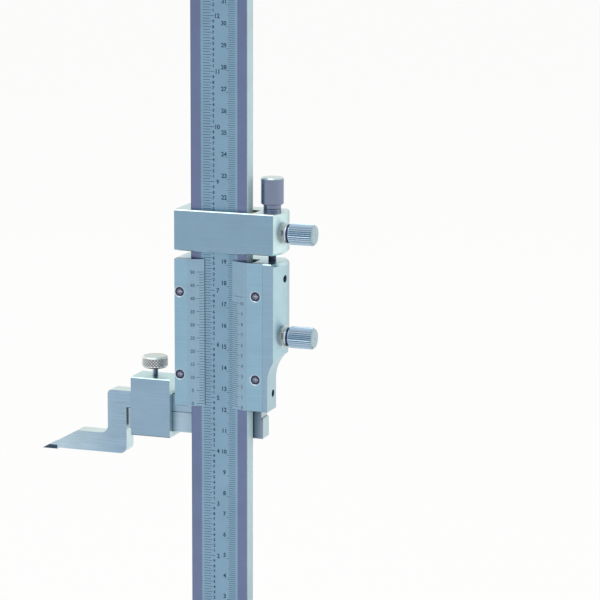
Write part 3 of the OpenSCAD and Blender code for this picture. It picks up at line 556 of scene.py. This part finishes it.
set_colour(beam_steel, shader, tone, mottle_and_painted_shade)
print("band half width", band_half, "mm")

# %% Beam gloss
gloss = add_node(beam_steel, "MapRange", i0=band, i3=0.2, i4=0.38)
blasted = add_node(beam_steel, "MapRange", i0=front, i3=0.3, i4=0.0)
rough = add_node(beam_steel, "Math", {"operation": "ADD"}, i0=gloss, i1=blasted)
feed(beam_steel, shader.inputs["Roughness"], rough)
metal = add_node(beam_steel, "MapRange", i0=front, i3=0.15, i4=1.0)
feed(beam_steel, shader.inputs["Metallic"], metal)
run = add_node(beam_steel, "Mapping", Vector=place, Scale=(1, 1, 1 / BEAM_STRETCH))
ground = add_node(beam_steel, "TexNoise", Vector=run, Scale=1 / (BEAM_LINE_MM * MM), Detail=3.0)
set_relief(beam_steel, shader, ground, 0.15)
print(beam_steel.name)

# %% [markdown]
# ## Brass and scale paint
# The brake shoes and the gib are brass, because brass grips the beam without marking
# it. Turned brass is a warm yellow metal with a soft gloss. The engraved lines are
# filled with dark paint, which is matt, so it reads as a clean line at any angle.
# Use has worn it paler in the numbers of the verniers. These finishes have one
# colour each, so a plainer recipe does them.


# %% Brass and paint
def plain(name, hex_value, metallic, roughness, cell_mm, strength, contrast):
    """A finish of one colour: colour * (1 +- contrast * noise), with noise of cell_mm as its relief."""
    material, shader = new_material(name)
    place = add_node(material, "TexCoord").outputs["Object"]
    cells = add_node(material, "TexNoise", Vector=place, Scale=1 / (cell_mm * MM), Detail=3.0)
    shade = add_node(material, "MapRange", i0=cells, i1=NOISE_LOW, i2=NOISE_HIGH,
                     i3=1 - contrast, i4=1 + contrast)
    set_colour(material, shader, linear(hex_value), shade)
    shader.inputs["Metallic"].default_value = metallic
    set_gloss(material, shader, cells, roughness - 0.05, roughness + 0.05)
    set_relief(material, shader, cells, strength, 0.05)
    return material


turned_brass = plain("turned_brass", "#c9a45c", 1.0, 0.3, 0.4, 0.2, 0.05)
scale_paint = plain("engraved_scale_paint", "#35506a", 0.0, 0.6, 0.3, 0.1, 0.08)
number_paint = plain("engraved_number_paint", "#27415a", 0.0, 0.6, 0.3, 0.1, 0.08)
worn_paint = plain("worn_vernier_paint", "#58768e", 0.0, 0.6, 0.3, 0.1, 0.08)
print("four finishes")

# %% [markdown]
# ## The base's enamel
# The base is a casting with hammered enamel: small rounded cells, each with its own
# highlight, drawn with Voronoi cells of 2.6 mm. They could be modelled, but they are
# so many and so shallow that a relief in the material gives the same look. The
# enamel stops at the sole, which is ground so that it slides on the surface plate,
# so the lowest 0.2 mm are bright metal.

# %% Base finish
SOLE_FROM, SOLE_TO, HAMMER_MM = 0.3, 0.1, 2.6
base_finish, shader = new_material("enamelled_base_with_ground_sole")
place = add_node(base_finish, "TexCoord").outputs["Object"]
height = add_node(base_finish, "SeparateXYZ", Vector=place).outputs["Z"]
sole = add_node(base_finish, "MapRange", i0=height, i1=SOLE_FROM * MM, i2=SOLE_TO * MM)
hammer = add_node(base_finish, "TexVoronoi", {"feature": "SMOOTH_F1"}, Vector=place,
                  Scale=1 / (HAMMER_MM * MM)).outputs["Distance"]
tone = add_node(base_finish, "Mix", {"data_type": "RGBA"}, i0=sole,
                i6=linear("#5a6570"), i7=linear("#b4bec4")).outputs[2]
# Each cell is painted lighter in its middle and darker at its rim, a painted highlight besides the relief.
shade = add_node(base_finish, "MapRange", i0=hammer, i1=0.1, i2=0.7, i3=1.12, i4=0.86)
set_colour(base_finish, shader, tone, shade)
feed(base_finish, shader.inputs["Metallic"], sole)
shader.inputs["Roughness"].default_value = 0.32
set_relief(base_finish, shader, hammer, 0.5, 0.15)
print(base_finish.name)

# %% [markdown]
# ## Finishes on the solids
# The solids themselves are never changed. Each only gets its finish in its slots.

# %% Dress the solids
FINISH = {
    "base": base_finish, "beam": beam_steel, "base_screws": blued_steel, "beam_stop_screw": stem_steel,
    "slider_frame": frame_steel, "inch_vernier_plate": plate_steel, "metric_vernier_plate": plate_steel,
    "vernier_screws": screw_steel, "slider_gib": turned_brass, "gib_screws": blued_steel,
    "slider_brake_shoe": turned_brass, "slider_clamp_stud": stud_steel, "slider_clamp_knob": knob_steel,
    "fine_adjust_carrier": carrier_steel, "carrier_brake_shoe": turned_brass,
    "carrier_clamp_stud": stud_steel, "carrier_clamp_knob": knob_steel, "fine_adjust_screw": blued_steel,
    "fine_adjust_knob": fine_knob_steel, "fine_adjust_collar": polished_steel, "jaw": jaw_steel,
    "jaw_screws": blued_steel, "jaw_dowels": polished_steel, "scriber_clamp": clamp_steel,
    "clamp_thumbscrew": polished_steel, "pressure_pad": turned_brass, "scriber": scriber_steel,
    "carbide_tip": carbide,
}
for name, material in FINISH.items():
    slots = nodes[name].data.materials
    if not len(slots):
        slots.append(material)
    for i in range(len(slots)):
        slots[i] = material
print("dressed", len(FINISH), "of", len(nodes))

# %% [markdown]
# ## New pieces
# Each new piece is a mesh of its own. It rides on the body that carries it, and
# gets its finish as a material. Engraving and threads could be cut into the
# solids, but the solids are the measured model and stay as they are.


# %% Mesh helper
def new_piece(name, points_mm, faces, material, body, smooth=False):
    """Makes a mesh object from points in millimetres and faces, and lets it ride on its body."""
    mesh = bpy.data.meshes.new(name)
    mesh.from_pydata((np.asarray(points_mm) * MM).tolist(), [], [list(map(int, f)) for f in faces])
    mesh.validate()
    mesh.update()
    if smooth:
        mesh.polygons.foreach_set("use_smooth", np.ones(len(mesh.polygons), bool))
    piece = bpy.data.objects.new(name, mesh)
    bpy.context.scene.collection.objects.link(piece)
    mesh.materials.append(material)
    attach(piece, body)
    return piece


def tube_faces(rows, around):
    """Quads between each ring and the next, closed round. Point j of ring i is i * around + j."""
    i = np.arange(rows - 1)[:, None]
    j = np.arange(around)[None, :]
    after = (j + 1) % around
    quads = [i * around + j, i * around + after, (i + 1) * around + after, (i + 1) * around + j]
    return np.stack(quads, axis=-1).reshape(-1, 4)


print("mesh helper ready")

# %% [markdown]
# ## Graduations
# An engraved line is a groove filled with paint. Seen from any distance it is a
# thin dark bar, so each is a flat bar 0.02 mm proud of the face, sunk into it
# behind. A picture of the scale would blur close by, and hundreds of cut grooves
# would be slow. All bars of a scale are one mesh: eight corners for each, worked
# out for the whole scale at once.

# %% Bars
PROUD, SUNK = 0.02, 0.06


def bars(x0, x1, z, width, depth_at):
    """Corners and faces of thin bars from x0 to x1 and from z - width / 2 to z + width / 2.

    depth_at(x) is the face's Y, and a bar reaches from PROUD before it to SUNK behind it."""
    x0, x1, z = np.broadcast_arrays(np.asarray(x0, float), np.asarray(x1, float), np.asarray(z, float))
    xs = np.stack([x0, x1, x1, x0] * 2, axis=1)
    zs = z[:, None] + width / 2 * np.array([-1, -1, 1, 1] * 2)
    ys = depth_at(xs) + np.array([-PROUD] * 4 + [SUNK] * 4)
    points = np.stack([xs, ys, zs], axis=-1).reshape(-1, 3)
    cube = np.array([[0, 1, 2, 3], [7, 6, 5, 4], [0, 4, 5, 1], [1, 5, 6, 2], [2, 6, 7, 3], [3, 7, 4, 0]])
    faces = (cube[None] + 8 * np.arange(len(x0))[:, None, None]).reshape(-1, 4)
    return points, faces


def on_band(x):
    """The band's floor is flat."""
    return np.full_like(x, BAND_Y)


print("bars ready")

# %% [markdown]
# The right scale has a line each millimetre, longer at 5 mm and longest at each
# centimetre. The left one has a line each twentieth of an inch, longer at each
# tenth and longest at each inch. All lines of a scale start at its outer edge.

# %% Beam scales
INCH = 25.4
LAST_MM, LAST_TWENTIETH = 370, 289
OUTER_X = 7.8
CM_X, HALF_CM_X, MM_X, MM_LINE = 3.6, 4.1, 4.6, 0.2
INCH_X, TENTH_X, TWENTIETH_X, INCH_LINE = -2.3, -3.7, -4.4, 0.24
mm = np.arange(LAST_MM + 1)
start = np.where(mm % 10 == 0, CM_X, np.where(mm % 5 == 0, HALF_CM_X, MM_X))
points, faces = bars(start, OUTER_X, SCALE_ZERO + mm, MM_LINE, on_band)
new_piece("beam_millimetre_lines", points, faces, scale_paint, "base")

twentieth = np.arange(LAST_TWENTIETH + 1)
stop = np.where(twentieth % 20 == 0, INCH_X, np.where(twentieth % 2 == 0, TENTH_X, TWENTIETH_X))
points, faces = bars(-OUTER_X, stop, SCALE_ZERO + twentieth * INCH / 20, INCH_LINE, on_band)
new_piece("beam_inch_lines", points, faces, scale_paint, "base")
print("lines:", len(mm), len(twentieth))

# %% [markdown]
# ## Numbers
# Blender's own font gives the numerals. A text becomes a mesh before it is placed,
# with a little thickness, so that it too is a closed body in the face. Its strokes
# are widened a little, as an engraving cutter leaves them.

# %% Numerals
THICK, WIDER = 0.04, 0.03


def numeral(text, height_mm, squeeze):
    """Points (x right, y up, in mm, centred, z 1 in front and 0 behind) and faces of a text.

    size = height_mm / the text's own height, and its width is that times squeeze."""
    curve = bpy.data.curves.new("numeral", "FONT")
    curve.body = text
    curve.size = 1.0
    curve.resolution_u = 3
    curve.extrude = THICK
    curve.offset = WIDER
    holder = bpy.data.objects.new("numeral", curve)
    bpy.context.scene.collection.objects.link(holder)
    mesh = bpy.data.meshes.new_from_object(holder.evaluated_get(bpy.context.evaluated_depsgraph_get()))
    flat = np.empty(len(mesh.vertices) * 3)
    mesh.vertices.foreach_get("co", flat)
    flat = flat.reshape(-1, 3)
    polygons = [tuple(p.vertices) for p in mesh.polygons]
    bpy.data.objects.remove(holder)
    bpy.data.meshes.remove(mesh)
    bpy.data.curves.remove(curve)
    low, high = flat.min(0), flat.max(0)
    flat = (flat - (low + high) / 2) * np.array([squeeze, 1, 1]) * height_mm / (high[1] - low[1])
    flat[:, 2] = np.where(flat[:, 2] > 0, 1.0, 0.0)
    return flat, polygons


glyphs = {}


def number_row(name, texts, x, z, height, depth_at, body, material, squeeze=1.0):
    """One mesh of texts of a height, centred on x at heights z; each text is made only once."""
    points, faces, count = [], [], 0
    for text, at_z in zip(texts, z):
        key = (text, height, squeeze)
        if key not in glyphs:
            glyphs[key] = numeral(text, height, squeeze)
        flat, polygons = glyphs[key]
        px = flat[:, 0] + x
        py = depth_at(px) + np.where(flat[:, 2] > 0.5, -PROUD, SUNK)
        points.append(np.stack([px, py, flat[:, 1] + at_z], axis=1))
        faces += [tuple(i + count for i in polygon) for polygon in polygons]
        count += len(flat)
    new_piece(name, np.concatenate(points), faces, material, body)


print("numerals ready")

# %% [markdown]
# A centimetre's number stands above its line, and an inch's beside it. Small figures
# between the inches count their tenths.

# %% Beam numbers
CM_NUMBER_X, CM_NUMBER_RISE, CM_NUMBER_H = 2.4, 1.55, 2.15
INCH_NUMBER_X, INCH_NUMBER_H = -0.7, 2.2
TENTH_NUMBER_X, TENTH_NUMBER_H = -2.75, 1.55
cm = np.arange(1, 38)
number_row("beam_centimetre_numbers", [str(n) for n in cm], CM_NUMBER_X,
           SCALE_ZERO + 10 * cm + CM_NUMBER_RISE, CM_NUMBER_H, on_band, "base", number_paint, squeeze=0.95)
inches = np.arange(1, 15)
number_row("beam_inch_numbers", [str(n) for n in inches], INCH_NUMBER_X,
           SCALE_ZERO + INCH * inches, INCH_NUMBER_H, on_band, "base", number_paint, squeeze=0.9)
tenth = np.array([t for t in range(1, 145) if t % 10])
number_row("beam_tenth_numbers", [str(t % 10) for t in tenth], TENTH_NUMBER_X,
           SCALE_ZERO + INCH * tenth / 10, TENTH_NUMBER_H, on_band, "base", number_paint)
print("numbers:", len(cm), len(inches), len(tenth))

# %% [markdown]
# ## Vernier scales
# The plates' bevels run down to the beam. The left one carries 50 divisions over
# 2.45 inches, the right one 50 divisions over 49 mm, so at 124.00 mm the zero and
# the last line on the right both meet a line of the beam. Each fifth division is
# longer and has a number. The lines lie on a slope, so the same bars are used with
# a depth that changes with X.

# %% Bevels of the plates
PLATE_EDGE_Y = -0.35
INCH_BEVEL, METRIC_BEVEL = 7.3, 8.4
INSET = 0.05


def on_slope(x_edge, y_edge, x_top, y_top):
    """The bevel's Y at x: a straight line from its thin edge to its top."""
    def depth_at(x):
        share = np.clip((x - x_edge) / (x_top - x_edge), 0, 1)
        return y_edge + share * (y_top - y_edge)
    return depth_at


on_inch = on_slope(inch_high[0], PLATE_EDGE_Y, inch_high[0] - INCH_BEVEL, inch_low[1])
on_metric = on_slope(metric_low[0], PLATE_EDGE_Y, metric_low[0] + METRIC_BEVEL, metric_low[1])
print("bevels end at x", (inch_high[0] - INCH_BEVEL).round(2), (metric_low[0] + METRIC_BEVEL).round(2))

# %% Vernier lines
DIVISIONS = 50
INCH_STEP, METRIC_STEP = 2.45 * INCH / DIVISIONS, 49 / DIVISIONS
INCH_LONG_X, INCH_SHORT_X, INCH_THIN = -10.5, -9.4, 0.22
METRIC_LONG_X, METRIC_SHORT_X, METRIC_THIN = 10.6, 9.6, 0.2
vernier_zero = READING + SCALE_ZERO
k = np.arange(DIVISIONS + 1)
points, faces = bars(np.where(k % 5 == 0, INCH_LONG_X, INCH_SHORT_X), inch_high[0] - INSET,
                     vernier_zero + k * INCH_STEP, INCH_THIN, on_inch)
new_piece("inch_vernier_lines", points, faces, scale_paint, "slider")
points, faces = bars(metric_low[0] + INSET, np.where(k % 5 == 0, METRIC_LONG_X, METRIC_SHORT_X),
                     vernier_zero + k * METRIC_STEP, METRIC_THIN, on_metric)
new_piece("metric_vernier_lines", points, faces, scale_paint, "slider")
print("vernier zero at", vernier_zero, "mm")

# %% Vernier numbers
INCH_VERNIER_X, INCH_VERNIER_H = -12.2, 1.7
METRIC_VERNIER_X, METRIC_VERNIER_H = 12.1, 1.6
fifths = np.arange(0, DIVISIONS + 1, 5)
number_row("inch_vernier_numbers", [str(n) for n in fifths], INCH_VERNIER_X,
           vernier_zero + fifths * INCH_STEP, INCH_VERNIER_H, on_inch, "slider", worn_paint, squeeze=0.9)
number_row("metric_vernier_numbers", [str(n // 5) for n in fifths], METRIC_VERNIER_X,
           vernier_zero + fifths * METRIC_STEP, METRIC_VERNIER_H, on_metric, "slider", worn_paint)
print("vernier numbers:", 2 * len(fifths))

# %% [markdown]
# Above its last line the right vernier has one more faint mark, a plain line.

# %% End mark
MARK_X0, MARK_X1, MARK_RISE, MARK_LINE = 7.4, 13.0, 3.1, 0.16
mark_z = vernier_zero + DIVISIONS * METRIC_STEP + MARK_RISE
points, faces = bars([MARK_X0], [MARK_X1], [mark_z], MARK_LINE, on_metric)
new_piece("metric_vernier_end_mark", points, faces, scale_paint, "slider")
print("end mark at", mark_z, "mm")

# %% [markdown]
# ## Threads
# The fine-adjust screw shows in the gap under the carrier, and the clamp studs show
# in their dishes. A thread is a round bar whose radius depends on how far a point
# has gone along the helix: r = r0 - depth * |2 * frac(z / pitch - angle / turn) - 1|.
# It fades into a plain bar over one pitch at each end. A screw modifier could wind
# it, but the formula gives all points at once and leaves no loose end to close.

# %% Thread surface
PITCH, CORE_SHARE, RINGS_PER_PITCH = 0.5, 0.9, 6


def thread_points(length, radius, depth, around=28):
    """A closed threaded bar along +Z from 0 to length: a grid of rings, and a point at each end."""
    rows = int(length / PITCH * RINGS_PER_PITCH) + 1
    z = np.linspace(0, length, rows)[:, None]
    a = np.linspace(0, 2 * np.pi, around, endpoint=False)[None, :]
    phase = np.mod(z / PITCH - a / (2 * np.pi), 1)
    r = radius - depth * np.abs(2 * phase - 1)
    fade = np.clip(np.minimum(z, length - z) / PITCH, 0, 1)
    r = radius * CORE_SHARE + (r - radius * CORE_SHARE) * fade
    body = np.stack([r * np.cos(a), r * np.sin(a), z + 0 * a], axis=-1).reshape(-1, 3)
    ends = np.array([[0, 0, 0], [0, 0, length]])
    first, last, top = len(body), len(body) + 1, (rows - 1) * around
    faces = [tuple(q) for q in tube_faces(rows, around)]
    faces += [(first, (j + 1) % around, j) for j in range(around)]
    faces += [(last, top + j, top + (j + 1) % around) for j in range(around)]
    return np.concatenate([body, ends]), faces


print("thread surface ready")

# %% Fine-adjust thread
FINE_DEPTH, STUD_DEPTH = 0.16, 0.14
low, high = box_mm("fine_adjust_screw")
points, faces = thread_points(high[2] - low[2], (high[0] - low[0]) / 2, FINE_DEPTH)
points += np.array([(low[0] + high[0]) / 2, (low[1] + high[1]) / 2, low[2]])
piece = new_piece("fine_adjust_thread", points, faces, blued_steel, "fine_screw", smooth=True)
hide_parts("fine_adjust_screw")
print("fine-adjust screw faces:", len(faces))

# %% Stud threads
for where in ("slider", "carrier"):
    low, high = box_mm(where + "_clamp_stud")
    points, faces = thread_points(high[0] - low[0], (high[2] - low[2]) / 2, STUD_DEPTH, around=24)
    points = points[:, [2, 0, 1]] + np.array([low[0], (low[1] + high[1]) / 2, (low[2] + high[2]) / 2])
    piece = new_piece(where + "_stud_thread", points, faces, stud_steel, where + "_knob",
                      smooth=True)
    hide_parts(where + "_clamp_stud")
print("two studs")

# %% [markdown]
# ## Knurled thumbscrew
# The thumbscrew is a turned profile: stem, head, and a chamfer at both rims. Its
# head is rolled with a diamond knurl. A relief in the material could draw that, but
# the head's outline would stay smooth, and here it shows. So the stretch between
# the chamfers has many rings of points for the knurl to shape.

# %% Thumbscrew outline
THUMB_H, STEM_R, AXIS_R = 5.4, 1.45, 0.02
KNURL_RINGS, AROUND = 28, 360
thumb_low, thumb_high = box_mm("clamp_thumbscrew")
thumb_middle = (thumb_low + thumb_high) / 2
thumb_r = (thumb_high[0] - thumb_low[0]) / 2
length = thumb_high[2] - thumb_low[2]
head_z = length - THUMB_H
chamfer = THUMB_H / 9
knurl_low, knurl_high = head_z + chamfer, length - chamfer
lands = np.linspace(knurl_low, knurl_high, KNURL_RINGS + 2)[1:-1]
profile = np.vstack([
    [[AXIS_R, 0], [STEM_R - 0.25, 0], [STEM_R, 0.3], [STEM_R, head_z - 0.2], [STEM_R + 0.2, head_z],
     [thumb_r - chamfer, head_z], [thumb_r, knurl_low]],
    np.stack([np.full(len(lands), thumb_r), lands], axis=1),
    [[thumb_r, knurl_high], [thumb_r - chamfer, length - 0.06], [thumb_r - chamfer - 0.2, length],
     [AXIS_R, length]]])
print("thumbscrew", length.round(2), "mm long,", (2 * thumb_r).round(2), "mm across")

# %% [markdown]
# Two sets of grooves cross at an angle, one right-handed and one left-handed. With
# u counting the teeth round the head and v along it, the surface lies deeper by
# slope * max(wave(u + v), wave(u - v), flat) - slope * flat, so the diamonds keep
# flat tops. The chamfers are plain, so the knurl fades out towards them.

# %% Knurl
TEETH, GROOVE_SLOPE, FLAT_SHARE, FADE = 26, 0.6, 0.5, 0.4


def wave(t):
    """A wave of straight lines, 1 at whole numbers and 0 halfway between: |2 * frac(t) - 1|."""
    return np.abs(2 * np.mod(t, 1) - 1)


a = np.linspace(0, 2 * np.pi, AROUND, endpoint=False)[None, :]
r, z = profile[:, :1], profile[:, 1:]
u = a * TEETH / (2 * np.pi)
v = z * TEETH / (2 * np.pi * thumb_r)
groove = np.clip(np.maximum(wave(u + v), wave(u - v)) - FLAT_SHARE, 0, 1)
fade_in = np.clip((z - knurl_low) / FADE, 0, 1) * np.clip((knurl_high - z) / FADE, 0, 1)
on_side = r > thumb_r - 1e-6
r = r - GROOVE_SLOPE * groove * fade_in * on_side
points = np.stack([r * np.cos(a), r * np.sin(a), z + 0 * a], axis=-1).reshape(-1, 3)
points += np.array([thumb_middle[0], thumb_middle[1], thumb_low[2]])
rows = len(profile)
faces = [tuple(q) for q in tube_faces(rows, AROUND)]
faces += [tuple(range(AROUND))[::-1], tuple(range((rows - 1) * AROUND, rows * AROUND))]
print("thumbscrew faces:", len(faces))

# %% [markdown]
# The knurl's valleys are painted dark as painted shade, its tops near white as
# painted highlights, and the side that looks away from the slider is painted
# brightest, a painted highlight. A point's distance from the axis tells a valley
# from a top. The turned top is pale, and the stem blued.

# %% Thumbscrew steel
VALLEY_MM, TOP_HIGHLIGHT_MM, NECK_SOFT = 0.15, 0.02, 0.1
knurl_steel, shader = new_material("rolled_thumbscrew_steel")
place, facing = read_surface(knurl_steel)
height = add_node(knurl_steel, "SeparateXYZ", Vector=place).outputs["Z"]
on_head = add_node(knurl_steel, "MapRange", i0=height,
                   i1=(thumb_low[2] + head_z - NECK_SOFT) * MM, i2=(thumb_low[2] + head_z) * MM)
shifted = add_node(knurl_steel, "VectorMath", {"operation": "SUBTRACT"}, i0=place,
                   i1=tuple(thumb_middle * MM))
flat = add_node(knurl_steel, "VectorMath", {"operation": "MULTIPLY"}, i0=shifted, i1=(1, 1, 0))
radius = add_node(knurl_steel, "VectorMath", {"operation": "LENGTH"}, i0=flat)
knurl_top_highlight = add_node(knurl_steel, "MapRange", i0=radius.outputs["Value"],
                  i1=(thumb_r - VALLEY_MM) * MM, i2=(thumb_r - TOP_HIGHLIGHT_MM) * MM)
knurl = add_node(knurl_steel, "Mix", {"data_type": "RGBA"}, i0=knurl_top_highlight,
                 i6=linear("#3c3a4a"), i7=linear("#ffffff"))
tone = add_node(knurl_steel, "Mix", {"data_type": "RGBA"}, i0=on_head,
                i6=linear("#5c6f7d"), i7=knurl.outputs[2])
flat_top = add_node(knurl_steel, "MapRange", i0=facing["Z"], i1=0.6, i2=0.8)
tone = add_node(knurl_steel, "Mix", {"data_type": "RGBA"}, i0=flat_top,
                i6=tone.outputs[2], i7=linear("#bccbc8"))
with_painted_shade = add_node(knurl_steel, "Mix", {"data_type": "RGBA", "blend_type": "MULTIPLY"},
                 i0=1.0, i6=tone.outputs[2], i7=openness(knurl_steel, 0.6, 0.25))
wear_and_painted_light = add_node(knurl_steel, "MapRange", i0=facing["X"], i1=0.0, i2=-0.45)
tone = add_node(knurl_steel, "Mix", {"data_type": "RGBA"}, i0=wear_and_painted_light,
                i6=with_painted_shade.outputs[2], i7=linear("#f6faf8"))
feed(knurl_steel, shader.inputs["Base Color"], tone.outputs[2])
shader.inputs["Metallic"].default_value = 1.0
specks = add_node(knurl_steel, "TexNoise", Vector=place, Scale=1 / (SPECK_MM * MM), Detail=2.0)
set_gloss(knurl_steel, shader, specks, 0.15, 0.25)
piece = new_piece("knurled_thumbscrew", points, faces, knurl_steel, "thumbscrew")
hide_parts("clamp_thumbscrew")
print(knurl_steel.name)

# %% [markdown]
# ## Floor
# The floor is plain and pale. Looked at by the camera, or mirrored in metal, most
# of it is plain white, as in a product photograph, but about an eighth is left to
# the lamps, so that the gauge keeps its shadow. Plain white alone would swallow the
# shadow, and the lamps alone would leave the floor grey.

# %% Floor
WHITE_SHARE = 0.88
bpy.ops.mesh.primitive_circle_add(vertices=96, radius=6.0, fill_type="NGON", location=(0, 0, -0.0002))
floor = bpy.context.object
floor.name = "floor"
floor_paint, shader = new_material("pale_floor")
shader.inputs["Base Color"].default_value = linear("#f2f3f3")
shader.inputs["Roughness"].default_value = 0.7
rays = add_node(floor_paint, "LightPath").outputs
seen = add_node(floor_paint, "Math", {"operation": "MAXIMUM"},
                i0=rays["Is Camera Ray"], i1=rays["Is Glossy Ray"])
seen = add_node(floor_paint, "Math", {"operation": "MAXIMUM"}, i0=seen, i1=rays["Is Transmission Ray"])
share = add_node(floor_paint, "Math", {"operation": "MULTIPLY"}, i0=seen, i1=WHITE_SHARE)
white = add_node(floor_paint, "Emission", Color=(1, 1, 1, 1), Strength=1.0)
blend = add_node(floor_paint, "MixShader", i0=share, i1=shader, i2=white)
output = next(n for n in floor_paint.node_tree.nodes if n.bl_idname == "ShaderNodeOutputMaterial")
feed(floor_paint, output.inputs[0], blend)
floor.data.materials.append(floor_paint)
floor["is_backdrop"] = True
print("floor at", floor.location[2])

# %% [markdown]
# ## Light
# The studio is soft: a pale room, brighter behind the gauge where the backdrop is
# lit, a large lamp above, one from the right that brightens the ends, and a weak one
# in front. The camera sees the room as plain white, and metal mirrors that white
# mixed with the room. An image of a real room could light it too, but a smooth glow
# from one side is all that satin metal shows. The room's colours are in linear
# light, because its lit side is brighter than white.

# %% World
MIRRORED_WHITE = 0.6
DIM_ROOM, LIT_ROOM = (0.22, 0.27, 0.36, 1), (1.15, 1.12, 1.04, 1)
world = bpy.data.worlds.new("studio")
bpy.context.scene.world = world
world.use_nodes = True
world.node_tree.nodes.clear()
rays = add_node(world, "LightPath").outputs
direction = add_node(world, "TexCoord").outputs["Generated"]
lit_side = Vector((0.35, 0.6, 0.72)).normalized()
toward = add_node(world, "VectorMath", {"operation": "DOT_PRODUCT"}, i0=direction, i1=lit_side)
glow = add_node(world, "MapRange", {"interpolation_type": "SMOOTHSTEP"},
                i0=toward.outputs["Value"], i1=-0.5, i2=0.6)
room = add_node(world, "Mix", {"data_type": "RGBA"}, i0=glow, i6=DIM_ROOM, i7=LIT_ROOM)
lit = add_node(world, "Background", Color=room.outputs[2], Strength=0.8)
white = add_node(world, "Background", Color=(1, 1, 1, 1), Strength=1.0)
mirrored = add_node(world, "Math", {"operation": "MAXIMUM"},
                    i0=rays["Is Glossy Ray"], i1=rays["Is Transmission Ray"])
partly = add_node(world, "Math", {"operation": "MULTIPLY"}, i0=mirrored, i1=MIRRORED_WHITE)
seen = add_node(world, "Math", {"operation": "MAXIMUM"}, i0=rays["Is Camera Ray"], i1=partly)
blend = add_node(world, "MixShader", i0=seen, i1=lit, i2=white)
add_node(world, "OutputWorld", Surface=blend)
print("world:", world.name)


# %% Lamps
def lamp(name, place, target, size, watts, hex_value="#ffffff"):
    """A square soft lamp at a place, facing a target; sizes in metres."""
    data = bpy.data.lights.new(name, "AREA")
    data.size = size
    data.energy = watts
    data.color = linear(hex_value)[:3]
    holder = bpy.data.objects.new(name, data)
    bpy.context.scene.collection.objects.link(holder)
    holder.location = place
    holder.rotation_euler = (Vector(target) - Vector(place)).to_track_quat("-Z", "Y").to_euler()


middle = (0.0, 0.0, 0.2)
lamp("top_lamp", (-0.35, -0.15, 1.5), middle, 1.0, 5.0)
lamp("right_lamp", (1.4, 0.5, 0.6), middle, 0.9, 3.0, "#fff6ea")
lamp("front_lamp", (-0.8, -1.4, 1.1), middle, 1.2, 2.0, "#eef4ff")
print("three lamps")

# %% [markdown]
# ## Camera
# The photograph was taken from the right and a little above, with a long lens. The
# view was found from the lines of the scale, whose true distances are known: the
# camera is 1.37 m away, turned 19.4 degrees to the right and looking 11 degrees
# down, and the picture's centre lies a few rows above the middle of the view.

# %% Camera
AZIMUTH, ELEVATION, ROLL = math.radians(19.446), math.radians(11.0614), math.radians(0.1918)
AIM = Vector((0.03961, 0.0, 0.20471))
DISTANCE = 1.3678
IMAGE_ROWS, SHIFT_ROWS = 600, 3.96
back = Vector((math.sin(AZIMUTH) * math.cos(ELEVATION), -math.cos(AZIMUTH) * math.cos(ELEVATION),
               math.sin(ELEVATION)))
right = Vector((math.cos(AZIMUTH), math.sin(AZIMUTH), 0.0))
up = back.cross(right)
tilted_right = math.cos(ROLL) * right + math.sin(ROLL) * up
tilted_up = -math.sin(ROLL) * right + math.cos(ROLL) * up
camera_data = bpy.data.cameras.new("camera")
camera_data.lens = 179.26
camera_data.sensor_width = 36.0
camera_data.shift_y = SHIFT_ROWS / IMAGE_ROWS
camera_data.clip_start = 0.05
camera_data.clip_end = 50.0
camera = bpy.data.objects.new("camera", camera_data)
bpy.context.scene.collection.objects.link(camera)
turned = Matrix((tilted_right, tilted_up, back)).transposed().to_4x4()
camera.matrix_world = Matrix.Translation(AIM + back * DISTANCE) @ turned
bpy.context.scene.camera = camera
print("camera at", [round(v, 3) for v in camera.location])

# %% [markdown]
# ## Finish
# The picture keeps plain sRGB colours. The gauge's sizes are printed.

# %% View settings
bpy.context.scene.view_settings.view_transform = "Standard"
visual_box = [list(corner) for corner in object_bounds()]
low, high = visual_box
print("whole gauge:", [round((b - a) / MM, 1) for a, b in zip(low, high)], "mm")
